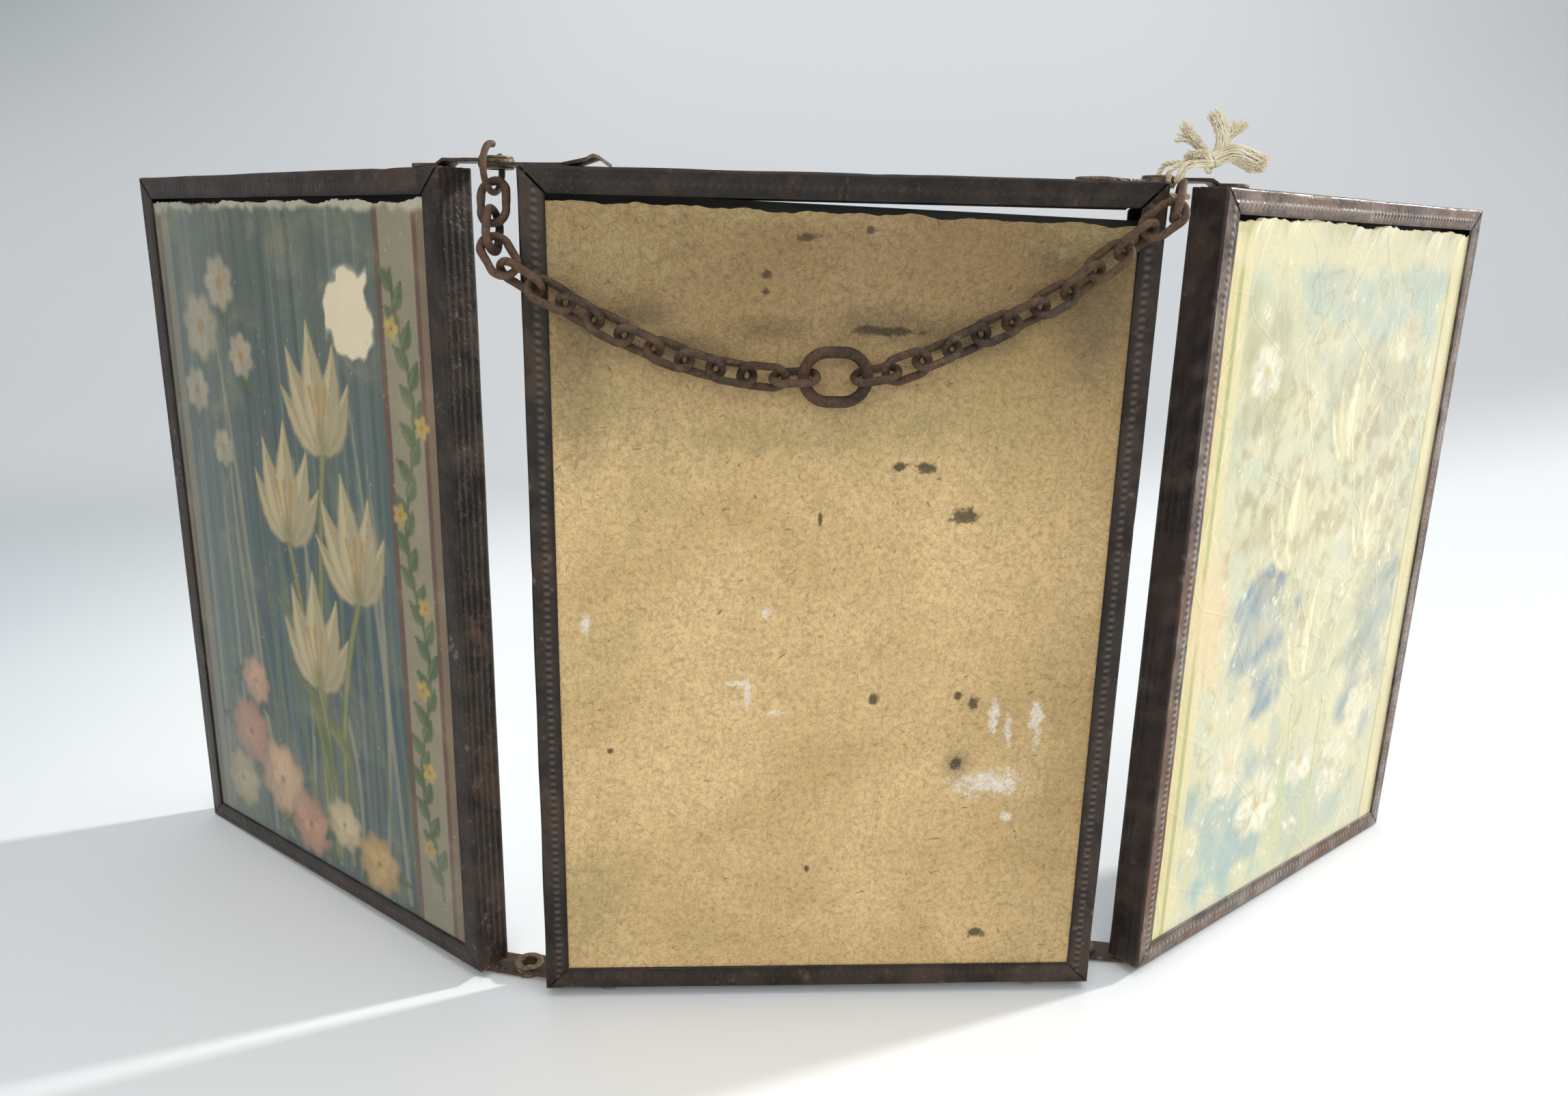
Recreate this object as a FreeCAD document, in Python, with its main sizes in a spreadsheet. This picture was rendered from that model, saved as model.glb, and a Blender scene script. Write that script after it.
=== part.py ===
import FreeCAD, Part
import math
import os
import Sketcher
from FreeCAD import Placement, Rotation, Vector

doc = FreeCAD.newDocument("tri_fold_mirror")
sizes = doc.addObject("Spreadsheet::Sheet", "sizes")

# Driving dimensions in millimetres and degrees. The three panels are tin channel frames,
# +X runs along the centre panel, +Y towards its mirror side and +Z up.
driving = {
    # panels
    "panel_height": 178.0,
    "center_width": 125.0,
    "wing_width": 120.6,
    "frame_depth": 8.4,
    "tin": 0.5,
    "lip": 5.2,
    "wing_lift": 0.3,
    "glass": 3.0,
    "paper": 0.25,
    "glass_play": 0.4,
    "rail_fit": 0.1,
    "mitre_gap": 0.35,
    # top edges of the loose sheets, as drops below the top of the panel
    "glass_drop": 1.5,
    "center_glass_drop": 6.9,
    "board_drop_left": 6.2,
    "board_drop_right": 8.6,
    "wing_board_drop": 6.4,
    "print_drop": 7.4,
    # hinges: pivot beyond the panel's edge and in front of its back face
    "left_pivot_gap": 5.4,
    "left_pivot_offset": 10.0,
    "left_angle": 39.5,
    "right_pivot_gap": 2.7,
    "right_pivot_offset": 14.5,
    "right_angle": 35.0,
    "tab_thickness": 0.7,
    "tab_width": 7.0,
    "center_tab_reach": 17.5,
    "wing_tab_reach": 11.0,
    "seat_depth": 0.1,
    "seat_margin": 1.0,
    "tab_ramp": 1.5,
    "tab_bed": 6.4,
    # hollow eyelets that the tabs turn on
    "eyelet_bore": 3.7,
    "eyelet_wall": 0.4,
    "flange_width": 6.6,
    "flange_thickness": 0.4,
    "running_clearance": 0.05,
    "axial_play": 0.1,
    # chain, its hanging ring and its jump ring
    "link_length": 10.4,
    "link_width": 6.8,
    "link_wire": 1.6,
    "link_slack": 0.5,
    "link_lean": 20.0,
    "ring_width": 14.9,
    "ring_height": 12.0,
    "ring_wire": 2.3,
    "ring_side": -1.5,
    "ring_drop": 38.3,
    "ring_stand": 3.1,
    "jump_bore": 7.6,
    "jump_wire": 1.3,
    "jump_opening": 18.0,
    "jump_turn": 12.0,
    "jump_drop": 0.5,
    # cotton string that ties the chain's end to the right hinge
    "string_width": 1.2,
    "string_reach": 13.4,
    "string_drop": 2.6,
    "string_shift": 0.0,
    "string_spread": 4.0,
    "knot_width": 5.6,
    "knot_side": 7.4,
    "knot_front": 7.0,
    "tail_length": 9.5,
    "tail_width": 4.4,
}
for row, (alias, value) in enumerate(driving.items(), start=1):
    sizes.set(f"A{row}", alias)
    sizes.set(f"B{row}", str(value))
    sizes.setAlias(f"B{row}", alias)
doc.recompute()


def size(alias):
    return float(getattr(sizes, alias))


def cell(text):
    # A formula in plain words gets the sheet's name in front of each alias.
    words = sorted(driving, key=len, reverse=True)
    for number, word in enumerate(words):
        text = text.replace(word, f"<<{number}>>")
    for number, word in enumerate(words):
        text = text.replace(f"<<{number}>>", f"sizes.{word}")
    return text


# The panels: where each one's middle lies and how far it is swung about its pivot
pivots = {
    "left": ("-(center_width / 2 + left_pivot_gap)", "(left_pivot_offset - frame_depth / 2)"),
    "right": ("(center_width / 2 + right_pivot_gap)", "(right_pivot_offset - frame_depth / 2)"),
}
panels = {
    "center": {
        "width": "center_width",
        "low": "0",
        "pivot": ("0", "0"),
        "turn": "0",
        "middle": "0",
        "back": "0",
    },
    "left": {
        "width": "wing_width",
        "low": "wing_lift",
        "pivot": pivots["left"],
        "turn": "-left_angle",
        "middle": "-(left_pivot_gap + wing_width / 2)",
        "back": "-(left_pivot_offset - frame_depth / 2)",
    },
    "right": {
        "width": "wing_width",
        "low": "wing_lift",
        "pivot": pivots["right"],
        "turn": "right_angle",
        "middle": "(right_pivot_gap + wing_width / 2)",
        "back": "-(right_pivot_offset - frame_depth / 2)",
    },
}
parts = []


def bind(thing, prop, formula):
    thing.setExpression(prop, cell(formula))


def add_part(thing, label):
    thing.Label = label
    parts.append(thing)
    return thing


def place(thing, panel, along="0", across="0", up="0"):
    # Seats a piece in its panel's own frame, then swings it about the panel's pivot.
    about = panels[panel]
    x = f"({about['middle']} + {along})"
    y = f"({about['back']} + {across})"
    turn = f"({about['turn']}) * 1deg"
    thing.Placement.Rotation = Rotation(Vector(0, 0, 1), 0)
    bind(thing, "Placement.Base.x", f"{about['pivot'][0]} + {x} * cos({turn}) - {y} * sin({turn})")
    bind(thing, "Placement.Base.y", f"{about['pivot'][1]} + {x} * sin({turn}) + {y} * cos({turn})")
    bind(thing, "Placement.Base.z", up)
    bind(thing, "Placement.Rotation.Angle", about["turn"])


def new_body(label):
    return add_part(doc.addObject("PartDesign::Body", label), label)


def new_sketch(body, name, plane):
    sketch = body.newObject("Sketcher::SketchObject", name)
    planes = {feature.Role: feature for feature in body.Origin.OriginFeatures}
    sketch.AttachmentSupport = [(planes[plane], "")]
    sketch.MapMode = "FlatFace"
    return sketch


def polygon(body, name, corners, plane="XZ_Plane"):
    sketch = new_sketch(body, name, plane)
    spots = [[float(sketch.evalExpression(cell(c))) for c in corner] for corner in corners]
    count = len(corners)
    for i in range(count):
        start = Vector(*spots[i], 0)
        end = Vector(*spots[(i + 1) % count], 0)
        sketch.addGeometry(Part.LineSegment(start, end), False)
    for i in range(count):
        sketch.addConstraint(Sketcher.Constraint("Coincident", i, 2, (i + 1) % count, 1))
    for i in range(count):
        for direction, axis in (("DistanceX", 0), ("DistanceY", 1)):
            rule = Sketcher.Constraint(direction, -1, 1, i, 1, spots[i][axis])
            number = sketch.addConstraint(rule)
            bind(sketch, f"Constraints[{number}]", corners[i][axis])
    return sketch


def rectangle(left, right, low, high):
    return [(left, low), (right, low), (right, high), (left, high)]


def slot_outline(body, name, length, width):
    # A strip with round ends, from the sketch's origin along its X axis
    sketch = new_sketch(body, name, "XY_Plane")
    run = float(sketch.evalExpression(cell(length)))
    radius = float(sketch.evalExpression(cell(width))) / 2
    up = Vector(0, 0, 1)
    near = Part.Circle(Vector(0, 0, 0), up, radius)
    far = Part.Circle(Vector(run, 0, 0), up, radius)
    quarter = math.pi / 2
    sketch.addGeometry(Part.ArcOfCircle(near, quarter, 3 * quarter), False)
    sketch.addGeometry(Part.LineSegment(Vector(0, -radius, 0), Vector(run, -radius, 0)), False)
    sketch.addGeometry(Part.ArcOfCircle(far, -quarter, quarter), False)
    sketch.addGeometry(Part.LineSegment(Vector(run, radius, 0), Vector(0, radius, 0)), False)
    for first, second in ((0, 1), (1, 2), (2, 3), (3, 0)):
        sketch.addConstraint(Sketcher.Constraint("Tangent", first, 2, second, 1))
    sketch.addConstraint(Sketcher.Constraint("Coincident", 0, 3, -1, 1))
    sketch.addConstraint(Sketcher.Constraint("PointOnObject", 2, 3, -1))
    sketch.addConstraint(Sketcher.Constraint("Equal", 0, 2))
    number = sketch.addConstraint(Sketcher.Constraint("DistanceX", -1, 1, 2, 3, run))
    bind(sketch, f"Constraints[{number}]", length)
    number = sketch.addConstraint(Sketcher.Constraint("Radius", 0, radius))
    bind(sketch, f"Constraints[{number}]", f"{width} / 2")
    return sketch


def circle(body, name, diameter, plane="XY_Plane"):
    sketch = new_sketch(body, name, plane)
    width = float(sketch.evalExpression(cell(diameter)))
    sketch.addGeometry(Part.Circle(Vector(0, 0, 0), Vector(0, 0, 1), width / 2), False)
    sketch.addConstraint(Sketcher.Constraint("Coincident", 0, 3, -1, 1))
    number = sketch.addConstraint(Sketcher.Constraint("Diameter", 0, width))
    bind(sketch, f"Constraints[{number}]", diameter)
    return sketch


def pad(body, sketch, name, thickness):
    feature = body.newObject("PartDesign::Pad", name)
    feature.Profile = sketch
    feature.Midplane = True
    bind(feature, "Length", thickness)
    return feature


def pocket(body, sketch, name, depth):
    doc.recompute()
    before = body.Shape.Volume
    feature = body.newObject("PartDesign::Pocket", name)
    feature.Profile = sketch
    feature.Midplane = True
    bind(feature, "Length", depth)
    doc.recompute()
    if not body.Shape.Volume < before:
        raise RuntimeError(f"{body.Label}: {name} cut nothing")
    return feature


# Frames: one strip of tin channel bent round the two sides and the bottom
beyond = "2 * frame_depth"
inside = "frame_depth - 2 * tin"


def hinge_seats(half):
    # The centre's rails are beaten flat at both ends, where its hinge tabs are soldered on.
    long = "(center_tab_reach + seat_margin)"
    return (("left", f"-{half} - lip", f"-{half} + {long}"), ("right", f"{half} - {long}", f"{half} + lip"))


def panel_ends(panel):
    half = f"({panels[panel]['width']} / 2)"
    low = panels[panel]["low"]
    return half, low, f"(panel_height - {low})"


def make_frame(panel):
    half, low, high = panel_ends(panel)
    side = f"({half} - lip)"
    wall = f"({half} - tin)"
    body = new_body(f"{panel}_frame")
    outer = polygon(body, "outline", rectangle(f"-{half}", half, low, high))
    pad(body, outer, "block", "frame_depth")
    hollow = rectangle(f"-{wall}", wall, f"{low} + tin", f"{high} + lip")
    pocket(body, polygon(body, "channel_outline", hollow), "channel", inside)
    opening = [
        (f"-{side}", f"{low} + lip"),
        (side, f"{low} + lip"),
        (side, f"{high} - lip"),
        (wall, f"{high} - tin"),
        (wall, f"{high} + lip"),
        (f"-{wall}", f"{high} + lip"),
        (f"-{wall}", f"{high} - tin"),
        (f"-{side}", f"{high} - lip"),
    ]
    pocket(body, polygon(body, "window_outline", opening), "window", beyond)
    for name, sign in (("left", "-1"), ("right", "1")):
        slit = [
            (f"{sign} * ({side} - mitre_gap / 2)", f"{low} + lip + mitre_gap"),
            (f"{sign} * ({wall} - mitre_gap)", f"{low} + tin"),
            (f"{sign} * {wall}", f"{low} + tin"),
            (f"{sign} * ({side} + mitre_gap / 2)", f"{low} + lip + mitre_gap"),
        ]
        pocket(body, polygon(body, f"{name}_mitre_outline", slit), f"{name}_mitre", beyond)
    for name, left, right in hinge_seats(half) if panel == "center" else ():
        low_seat = rectangle(left, right, "-lip", "seat_depth")
        pocket(body, polygon(body, f"{name}_low_seat_outline", low_seat), f"{name}_low_seat", beyond)
        top_seat = rectangle(left, right, "panel_height - seat_depth", "panel_height + lip")
        pocket(body, polygon(body, f"{name}_top_seat_outline", top_seat), f"{name}_top_seat", beyond)
    place(body, panel)


def make_top_rail(panel):
    half, low, high = panel_ends(panel)
    foot = f"({half} - lip - mitre_gap)"
    end = f"({half} - tin - rail_fit)"
    rise = f"({high} - lip + {end} - {foot})"
    body = new_body(f"{panel}_top_rail")
    outline = [
        (f"-{foot}", f"{high} - lip"),
        (foot, f"{high} - lip"),
        (end, rise),
        (end, high),
        (f"-{end}", high),
        (f"-{end}", rise),
    ]
    pad(body, polygon(body, "outline", outline), "block", "frame_depth")
    hollow = rectangle(f"-{half}", half, f"{high} - 2 * lip", f"{high} - tin")
    pocket(body, polygon(body, "channel_outline", hollow), "channel", inside)
    for name, left, right in hinge_seats(half) if panel == "center" else ():
        seat = rectangle(left, right, "panel_height - seat_depth", "panel_height + lip")
        pocket(body, polygon(body, f"{name}_seat_outline", seat), f"{name}_seat", beyond)
    place(body, panel)


def make_sheet(label, panel, thickness, across, left_drop, right_drop):
    # A loose sheet that stands in the channel, its top edge sloping from one side to the other
    half, low, high = panel_ends(panel)
    reach = f"({half} - tin - glass_play)"
    body = new_body(label)
    outline = [
        (f"-{reach}", f"{low} + tin"),
        (reach, f"{low} + tin"),
        (reach, f"{high} - {right_drop}"),
        (f"-{reach}", f"{high} - {left_drop}"),
    ]
    pad(body, polygon(body, "outline", outline), "sheet", thickness)
    place(body, panel, across=across)


front = "(frame_depth / 2 - tin)"
for panel in panels:
    make_frame(panel)
    make_top_rail(panel)
    is_wing = panel != "center"
    paper = "paper" if is_wing else "0"
    far_drop = "glass_drop" if is_wing else "center_glass_drop"
    make_sheet(f"{panel}_mirror_glass", panel, "glass", f"{front} - glass / 2", "glass_drop", far_drop)
    board = f"(frame_depth - 2 * tin - glass - {paper})"
    board_place = f"-{front} + {paper} + {board} / 2"
    if is_wing:
        make_sheet(f"{panel}_back_board", panel, board, board_place, "wing_board_drop", "wing_board_drop")
        make_sheet(f"{panel}_print", panel, "paper", f"-{front} + paper / 2", "print_drop", "print_drop")
    else:
        make_sheet("center_back_board", panel, board, board_place, "board_drop_left", "board_drop_right")


# Hinge tabs: strips soldered on the rails, lapped at the pivot on a hollow eyelet
barrel = "(eyelet_bore + 2 * eyelet_wall)"
lap = "(tab_thickness + axial_play)"
directions = {"top": "1", "bottom": "-1"}


def rail_level(end):
    return "panel_height - seat_depth" if end == "top" else "seat_depth"


def swing_upright(thing, end, turn):
    # A bottom tab is a top one turned over about its own length.
    flip = Rotation(Vector(1, 0, 0), 0 if end == "top" else 180)
    angle = float(thing.evalExpression(cell(turn)))
    thing.Placement.Rotation = Rotation(Vector(0, 0, 1), angle).multiply(flip)
    yaw = f"rotation(vector(0; 0; 1); ({turn}) * 1deg)"
    tip = f"rotation(vector(1; 0; 0); {0 if end == 'top' else 180} * 1deg)"
    bind(thing, "Placement.Rotation", f"{yaw} * {tip}")


def make_tab(label, side, end, on_wing):
    reach = "wing_tab_reach" if on_wing else "center_tab_reach"
    along = f"({side}_pivot_gap + {reach} - tab_width / 2)"
    across = f"({side}_pivot_offset - frame_depth / 2)"
    length = f"hypot({along}; {across})"
    bed_start = f"({length} + tab_width / 2 - tab_bed)"
    far = f"({length} + tab_width)"
    body = new_body(label)
    outline = slot_outline(body, "outline", length, "tab_width")
    pad(body, outline, "strip", "8 * tab_thickness")
    floor = "4 * tab_thickness"
    if on_wing:
        bed = "(seat_depth - wing_lift)"
        upper = [
            ("-tab_width", f"{lap} + tab_thickness"),
            (f"{bed_start} - tab_ramp", f"{lap} + tab_thickness"),
            (bed_start, f"{bed} + tab_thickness"),
            (far, f"{bed} + tab_thickness"),
        ]
        lower = [("-tab_width", lap), (f"{bed_start} - tab_ramp", lap), (bed_start, bed), (far, bed)]
    else:
        upper = [("-tab_width", "tab_thickness"), (far, "tab_thickness")]
        lower = [("-tab_width", "0"), (far, "0")]
    roof = upper + [(far, f"2 * {floor}"), ("-tab_width", f"2 * {floor}")]
    under = lower + [(far, f"-2 * {floor}"), ("-tab_width", f"-2 * {floor}")]
    pocket(body, polygon(body, "roof_outline", roof), "roof", "2 * tab_width")
    pocket(body, polygon(body, "under_outline", under), "under", "2 * tab_width")
    hole = circle(body, "hole_outline", f"{barrel} + 2 * running_clearance")
    pocket(body, hole, "hole", "16 * tab_thickness")
    lean = f"atan2({across}; {along}) / 1deg"
    if side == "left":
        turn = f"180 + {lean} - left_angle" if on_wing else f"-({lean})"
    else:
        turn = f"-({lean}) + right_angle" if on_wing else f"180 + {lean}"
    bind(body, "Placement.Base.x", pivots[side][0])
    bind(body, "Placement.Base.y", pivots[side][1])
    bind(body, "Placement.Base.z", rail_level(end))
    swing_upright(body, end, turn)


def make_eyelet(label, side, end):
    body = new_body(label)
    bore = "eyelet_bore / 2"
    shank = f"{barrel} / 2"
    rim = "flange_width / 2"
    low = "-flange_thickness"
    top = f"({lap} + tab_thickness + axial_play)"
    outline = [
        (bore, low),
        (rim, low),
        (rim, "0"),
        (shank, "0"),
        (shank, top),
        (rim, top),
        (rim, f"{top} + flange_thickness"),
        (bore, f"{top} + flange_thickness"),
    ]
    sketch = polygon(body, "half_section", outline)
    turned = body.newObject("PartDesign::Revolution", "turned")
    turned.Profile = sketch
    turned.ReferenceAxis = (sketch, ["V_Axis"])
    turned.Angle = 360
    bind(body, "Placement.Base.x", pivots[side][0])
    bind(body, "Placement.Base.y", pivots[side][1])
    bind(body, "Placement.Base.z", rail_level(end))
    swing_upright(body, end, "0")


for side in ("left", "right"):
    for end in directions:
        make_tab(f"hinge_tab_center_{end}_{side}", side, end, False)
        make_tab(f"hinge_tab_wing_{end}_{side}", side, end, True)
        make_eyelet(f"eyelet_{end}_{side}", side, end)
doc.recompute()


# Chain: links of bent wire, an oval hanging ring and an open jump ring
def oval_of_wire(name, length, width, wire):
    # Two half rings and two straight runs, lying in XY with the long way along X
    bend = f"(({width} - {wire}) / 2)"
    reach = f"(({length} - {width}) / 2)"
    pieces = []
    for side, turn in (("1", -90), ("-1", 90)):
        arc = doc.addObject("Part::Torus", f"{name}_arc")
        bind(arc, "Radius1", bend)
        bind(arc, "Radius2", f"{wire} / 2")
        arc.Angle3 = 180
        arc.Placement.Rotation = Rotation(Vector(0, 0, 1), turn)
        bind(arc, "Placement.Base.x", f"{side} * {reach}")
        pieces.append(arc)
        run = doc.addObject("Part::Cylinder", f"{name}_run")
        bind(run, "Radius", f"{wire} / 2")
        bind(run, "Height", f"2 * {reach}")
        run.Placement.Rotation = Rotation(Vector(0, 1, 0), 90)
        bind(run, "Placement.Base.x", f"-{reach}")
        bind(run, "Placement.Base.y", f"{side} * {bend}")
        pieces.append(run)
    oval = doc.addObject("Part::MultiFuse", name)
    oval.Shapes = pieces
    oval.Refine = False
    return oval


link = oval_of_wire("chain_link", "link_length", "link_width", "link_wire")
ring = add_part(oval_of_wire("hanging_ring", "ring_width", "ring_height", "ring_wire"), "hanging_ring")
ring.Placement.Rotation = Rotation(Vector(1, 0, 0), 90)
bind(ring, "Placement.Base.x", "ring_side")
bind(ring, "Placement.Base.y", "-(frame_depth / 2 + ring_stand)")
bind(ring, "Placement.Base.z", "panel_height - ring_drop")

jump_mean = "((jump_bore + jump_wire) / 2)"
jump = add_part(doc.addObject("Part::Torus", "chain_jump_ring"), "chain_jump_ring")
bind(jump, "Radius1", jump_mean)
bind(jump, "Radius2", "jump_wire / 2")
bind(jump, "Angle3", "360 - jump_opening")
# The ring stands in the eyelet, with its opening at the top and a little towards the back.
stand = Rotation(Vector(0, 0, 1), -size("jump_turn")).multiply(Rotation(Vector(0, 1, 0), 90))
jump.Placement.Rotation = stand.multiply(Rotation(Vector(0, 0, 1), 180 + 30))
bind(jump, "Placement.Base.x", pivots["left"][0])
bind(jump, "Placement.Base.y", f"{pivots['left'][1]} - {jump_mean} * cos(jump_turn * 1deg) + eyelet_wall")
bind(jump, "Placement.Base.z", "panel_height - jump_drop")
doc.recompute()

half_depth = size("frame_depth") / 2
edge = size("center_width") / 2
top = size("panel_height")
wire = size("link_wire")
slack = size("link_slack")
pitch = size("link_length") - 2 * wire - slack
stand_y = -(half_depth + size("ring_stand"))
ring_at = ring.Placement.Base
jump_at = jump.Placement.Base
right_pivot = Vector(
    edge + size("right_pivot_gap"), size("right_pivot_offset") - half_depth, top - size("seat_depth")
)
string = size("string_width")
hook = right_pivot + Vector(size("string_shift"), -size("string_reach"), -size("string_drop"))


def link_joints(route):
    # Even steps along a smooth line through the route's points, none longer than a link's pitch
    line = Part.BSplineCurve()
    line.interpolate(route)
    count = math.ceil(line.length() / pitch)
    return line.toShape().discretize(Number=count + 1)


def link_width(along, roll):
    # A link's width, turned by roll about its length from the board's normal
    normal = Vector(0, -1, 0)
    width = (normal - along * normal.dot(along)).normalize()
    return Rotation(along, roll).multVec(width)


def square_roll(along, strand):
    # The roll that sets a link's plane square to the strand it hangs on
    level = link_width(along, 0)
    wanted = strand.cross(along)
    return math.degrees(math.atan2(level.cross(wanted).dot(along), level.dot(wanted)))


def eased_rolls(ways, rolls, strand):
    # From its upper end the chain turns from square to what it hangs on back to its plain roll.
    eased = {}
    for number, share in zip(ways, (1.0, 1.0, 0.6, 0.3)):
        off = (square_roll(ways[number], strand) - rolls[number] + 90) % 180 - 90
        eased[number] = rolls[number] + share * off
        strand = link_width(ways[number], eased[number])
    return eased


def chain_run(label, joints, base, first_strand, last_strand):
    # The plain roll lays each link at 45 degrees to the board, a quarter turn from the one before.
    ways = {i: (end - start).normalize() for i, (start, end) in enumerate(zip(joints, joints[1:]))}
    rolls = {i: base + 90 * i for i in ways}
    rolls.update(eased_rolls(ways, rolls, first_strand))
    last = len(ways) - 1
    off = (square_roll(ways[last], last_strand) - rolls[last] + 90) % 180 - 90
    for number in ways:
        rolls[number] += off * math.exp(-0.8 * (last - number))
    links = []
    for number, way in ways.items():
        width = link_width(way, rolls[number])
        copy = link.Shape.copy()
        middle = (joints[number] + joints[number + 1]) * 0.5
        copy.Placement = Placement(middle, Rotation(way, width, way.cross(width), "XYZ"))
        links.append(copy)
    run = add_part(doc.addObject("Part::Feature", label), label)
    run.Shape = Part.makeCompound(links)
    run.Placement = Placement()
    print(label, len(links), "links", round((joints[1] - joints[0]).Length, 3), "mm apart")


ring_reach = size("ring_width") / 2 - size("ring_wire") - slack / 2
left_start = jump_at + Vector(0, 0, -(size("jump_bore") / 2 - slack / 2))
left_end = ring_at + Vector(-ring_reach, 0, 0)
right_start = ring_at + Vector(ring_reach, 0, 0)
right_end = hook + Vector(-string * 0.25, string * 0.45, string * 0.45)


def on_back(along, drop):
    return Vector(along, stand_y, top - drop)


left_route = [
    left_start,
    Vector(-edge - 5.0, -1.2, top - 10.0),
    Vector(-edge - 4.2, -6.2, top - 16.4),
    on_back(-edge + 6.0, 23.5),
    on_back(-edge + 18.2, 30.1),
    on_back(-edge + 28.0, 34.2),
    on_back(-edge + 40.1, 37.6),
    left_end,
]
right_route = [
    right_start,
    on_back(10.1, 36.9),
    on_back(18.7, 33.4),
    on_back(edge - 36.6, 30.0),
    on_back(edge - 27.5, 25.7),
    on_back(edge - 19.8, 21.4),
    on_back(edge - 12.3, 15.5),
    on_back(edge - 5.0, 9.6),
    Vector(edge + 0.5, stand_y + 0.2, top - 5.3),
]
lean = math.radians(size("jump_turn"))
jump_strand = Vector(math.sin(lean), math.cos(lean), 0)
ring_strand = Rotation(Vector(1, 0, 0), size("link_lean")).multVec(Vector(0, 0, 1))
chain_run("chain_links_left", link_joints(left_route), 45, jump_strand, ring_strand)
chain_run("chain_links_right", link_joints(right_route) + [right_end], 45, ring_strand, Vector(1, 0, 0))


# String: a loop through the right eyelet and round the last link, knotted above the hinge
def rounded_path(points, share):
    # Straight runs joined by tangent arcs, each as large as its two runs allow
    edges = []
    last = points[0]
    for before, corner, after in zip(points, points[1:], points[2:]):
        back = before - corner
        ahead = after - corner
        cut = share * min(back.Length, ahead.Length)
        half_angle = back.getAngle(ahead) / 2
        back.normalize()
        ahead.normalize()
        enter = corner + back * cut
        leave = corner + ahead * cut
        radius = cut * math.tan(half_angle)
        middle = corner + (back + ahead).normalize() * (cut / math.cos(half_angle) - radius)
        edges.append(Part.LineSegment(last, enter).toShape())
        edges.append(Part.Arc(enter, middle, leave).toShape())
        last = leave
    edges.append(Part.LineSegment(last, points[-1]).toShape())
    return Part.Wire(edges)


def cord(points, share):
    path = rounded_path(points, share)
    start = points[0]
    heading = points[1] - start
    section = Part.Wire([Part.makeCircle(string / 2, start, heading)])
    return path.makePipeShell([section], True, False)


stack = 2 * size("tab_thickness") + 2 * size("axial_play") + size("flange_thickness")
crown = right_pivot.z + stack
spread = Vector(size("string_spread") / 2, 0, 0)
knot_rise = 0.7 * size("knot_width") / 2
past_tab = size("tab_width") / 2 / math.sin(math.radians(50)) + string
knot_at = right_pivot + Vector(size("knot_side"), -size("knot_front"), stack + knot_rise + 0.4)
above_hole = Vector(right_pivot.x, right_pivot.y, knot_at.z)
under_hole = Vector(right_pivot.x, right_pivot.y, right_pivot.z - size("flange_thickness") - string)
over_edge = Vector(right_pivot.x - 0.7, right_pivot.y - past_tab, crown + 1.6)
under_edge = Vector(over_edge.x, over_edge.y, under_hole.z)
loop = cord([knot_at, above_hole, under_hole, hook + spread, hook - spread, under_edge, over_edge, knot_at], 0.4)
knot = Part.makeSphere(size("knot_width") / 2)
flatten = FreeCAD.Matrix()
flatten.scale(1.0, 0.85, 0.7)
knot = knot.transformGeometry(flatten)
knot.translate(knot_at)
pieces = [knot]
for lean, around, share in ((12, 140, 1.0), (52, 170, 0.9), (30, 10, 0.9), (84, -10, 1.2)):
    tail = Part.makeCone(string / 2, size("tail_width") / 2, share * size("tail_length"))
    turn = Rotation(Vector(0, 0, 1), around).multiply(Rotation(Vector(0, 1, 0), lean))
    tail.Placement = Placement(knot_at, turn)
    pieces.append(tail)
tie = add_part(doc.addObject("Part::Feature", "string_tie"), "string_tie")
tie.Shape = loop.multiFuse(pieces)
tie.Placement = Placement()
doc.recompute()

os.makedirs("parts", exist_ok=True)
for thing in doc.Objects:
    if "Invalid" in thing.State or "Error" in thing.State:
        raise RuntimeError(f"{thing.Label} is not valid: {thing.State}")
for thing in parts:
    if thing.Shape.isNull() or not thing.Shape.isValid():
        raise RuntimeError(f"{thing.Label} has no valid shape")
for thing in parts:
    thing.Shape.exportStep(f"parts/{thing.Label}.step")
    print(thing.Label, len(thing.Shape.Solids), round(thing.Shape.Volume, 2))
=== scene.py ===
import math
import random
import bmesh
import bpy
import numpy as np
from mathutils import Matrix, Vector


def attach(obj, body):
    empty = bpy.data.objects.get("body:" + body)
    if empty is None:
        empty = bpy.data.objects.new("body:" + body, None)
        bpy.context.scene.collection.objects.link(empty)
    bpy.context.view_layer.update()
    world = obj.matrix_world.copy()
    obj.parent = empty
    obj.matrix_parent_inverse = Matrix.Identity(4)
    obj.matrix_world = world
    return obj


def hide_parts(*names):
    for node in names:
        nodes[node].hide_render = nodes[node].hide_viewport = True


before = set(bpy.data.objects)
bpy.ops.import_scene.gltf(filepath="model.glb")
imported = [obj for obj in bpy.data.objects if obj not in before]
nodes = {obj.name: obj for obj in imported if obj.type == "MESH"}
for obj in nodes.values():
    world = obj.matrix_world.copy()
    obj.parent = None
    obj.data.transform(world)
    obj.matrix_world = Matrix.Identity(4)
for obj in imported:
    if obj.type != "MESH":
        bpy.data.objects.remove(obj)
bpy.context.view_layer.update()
scene = bpy.context.scene
scene.view_settings.view_transform = "Standard"
mm = 0.001
print("stage: frame loaded")


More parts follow.
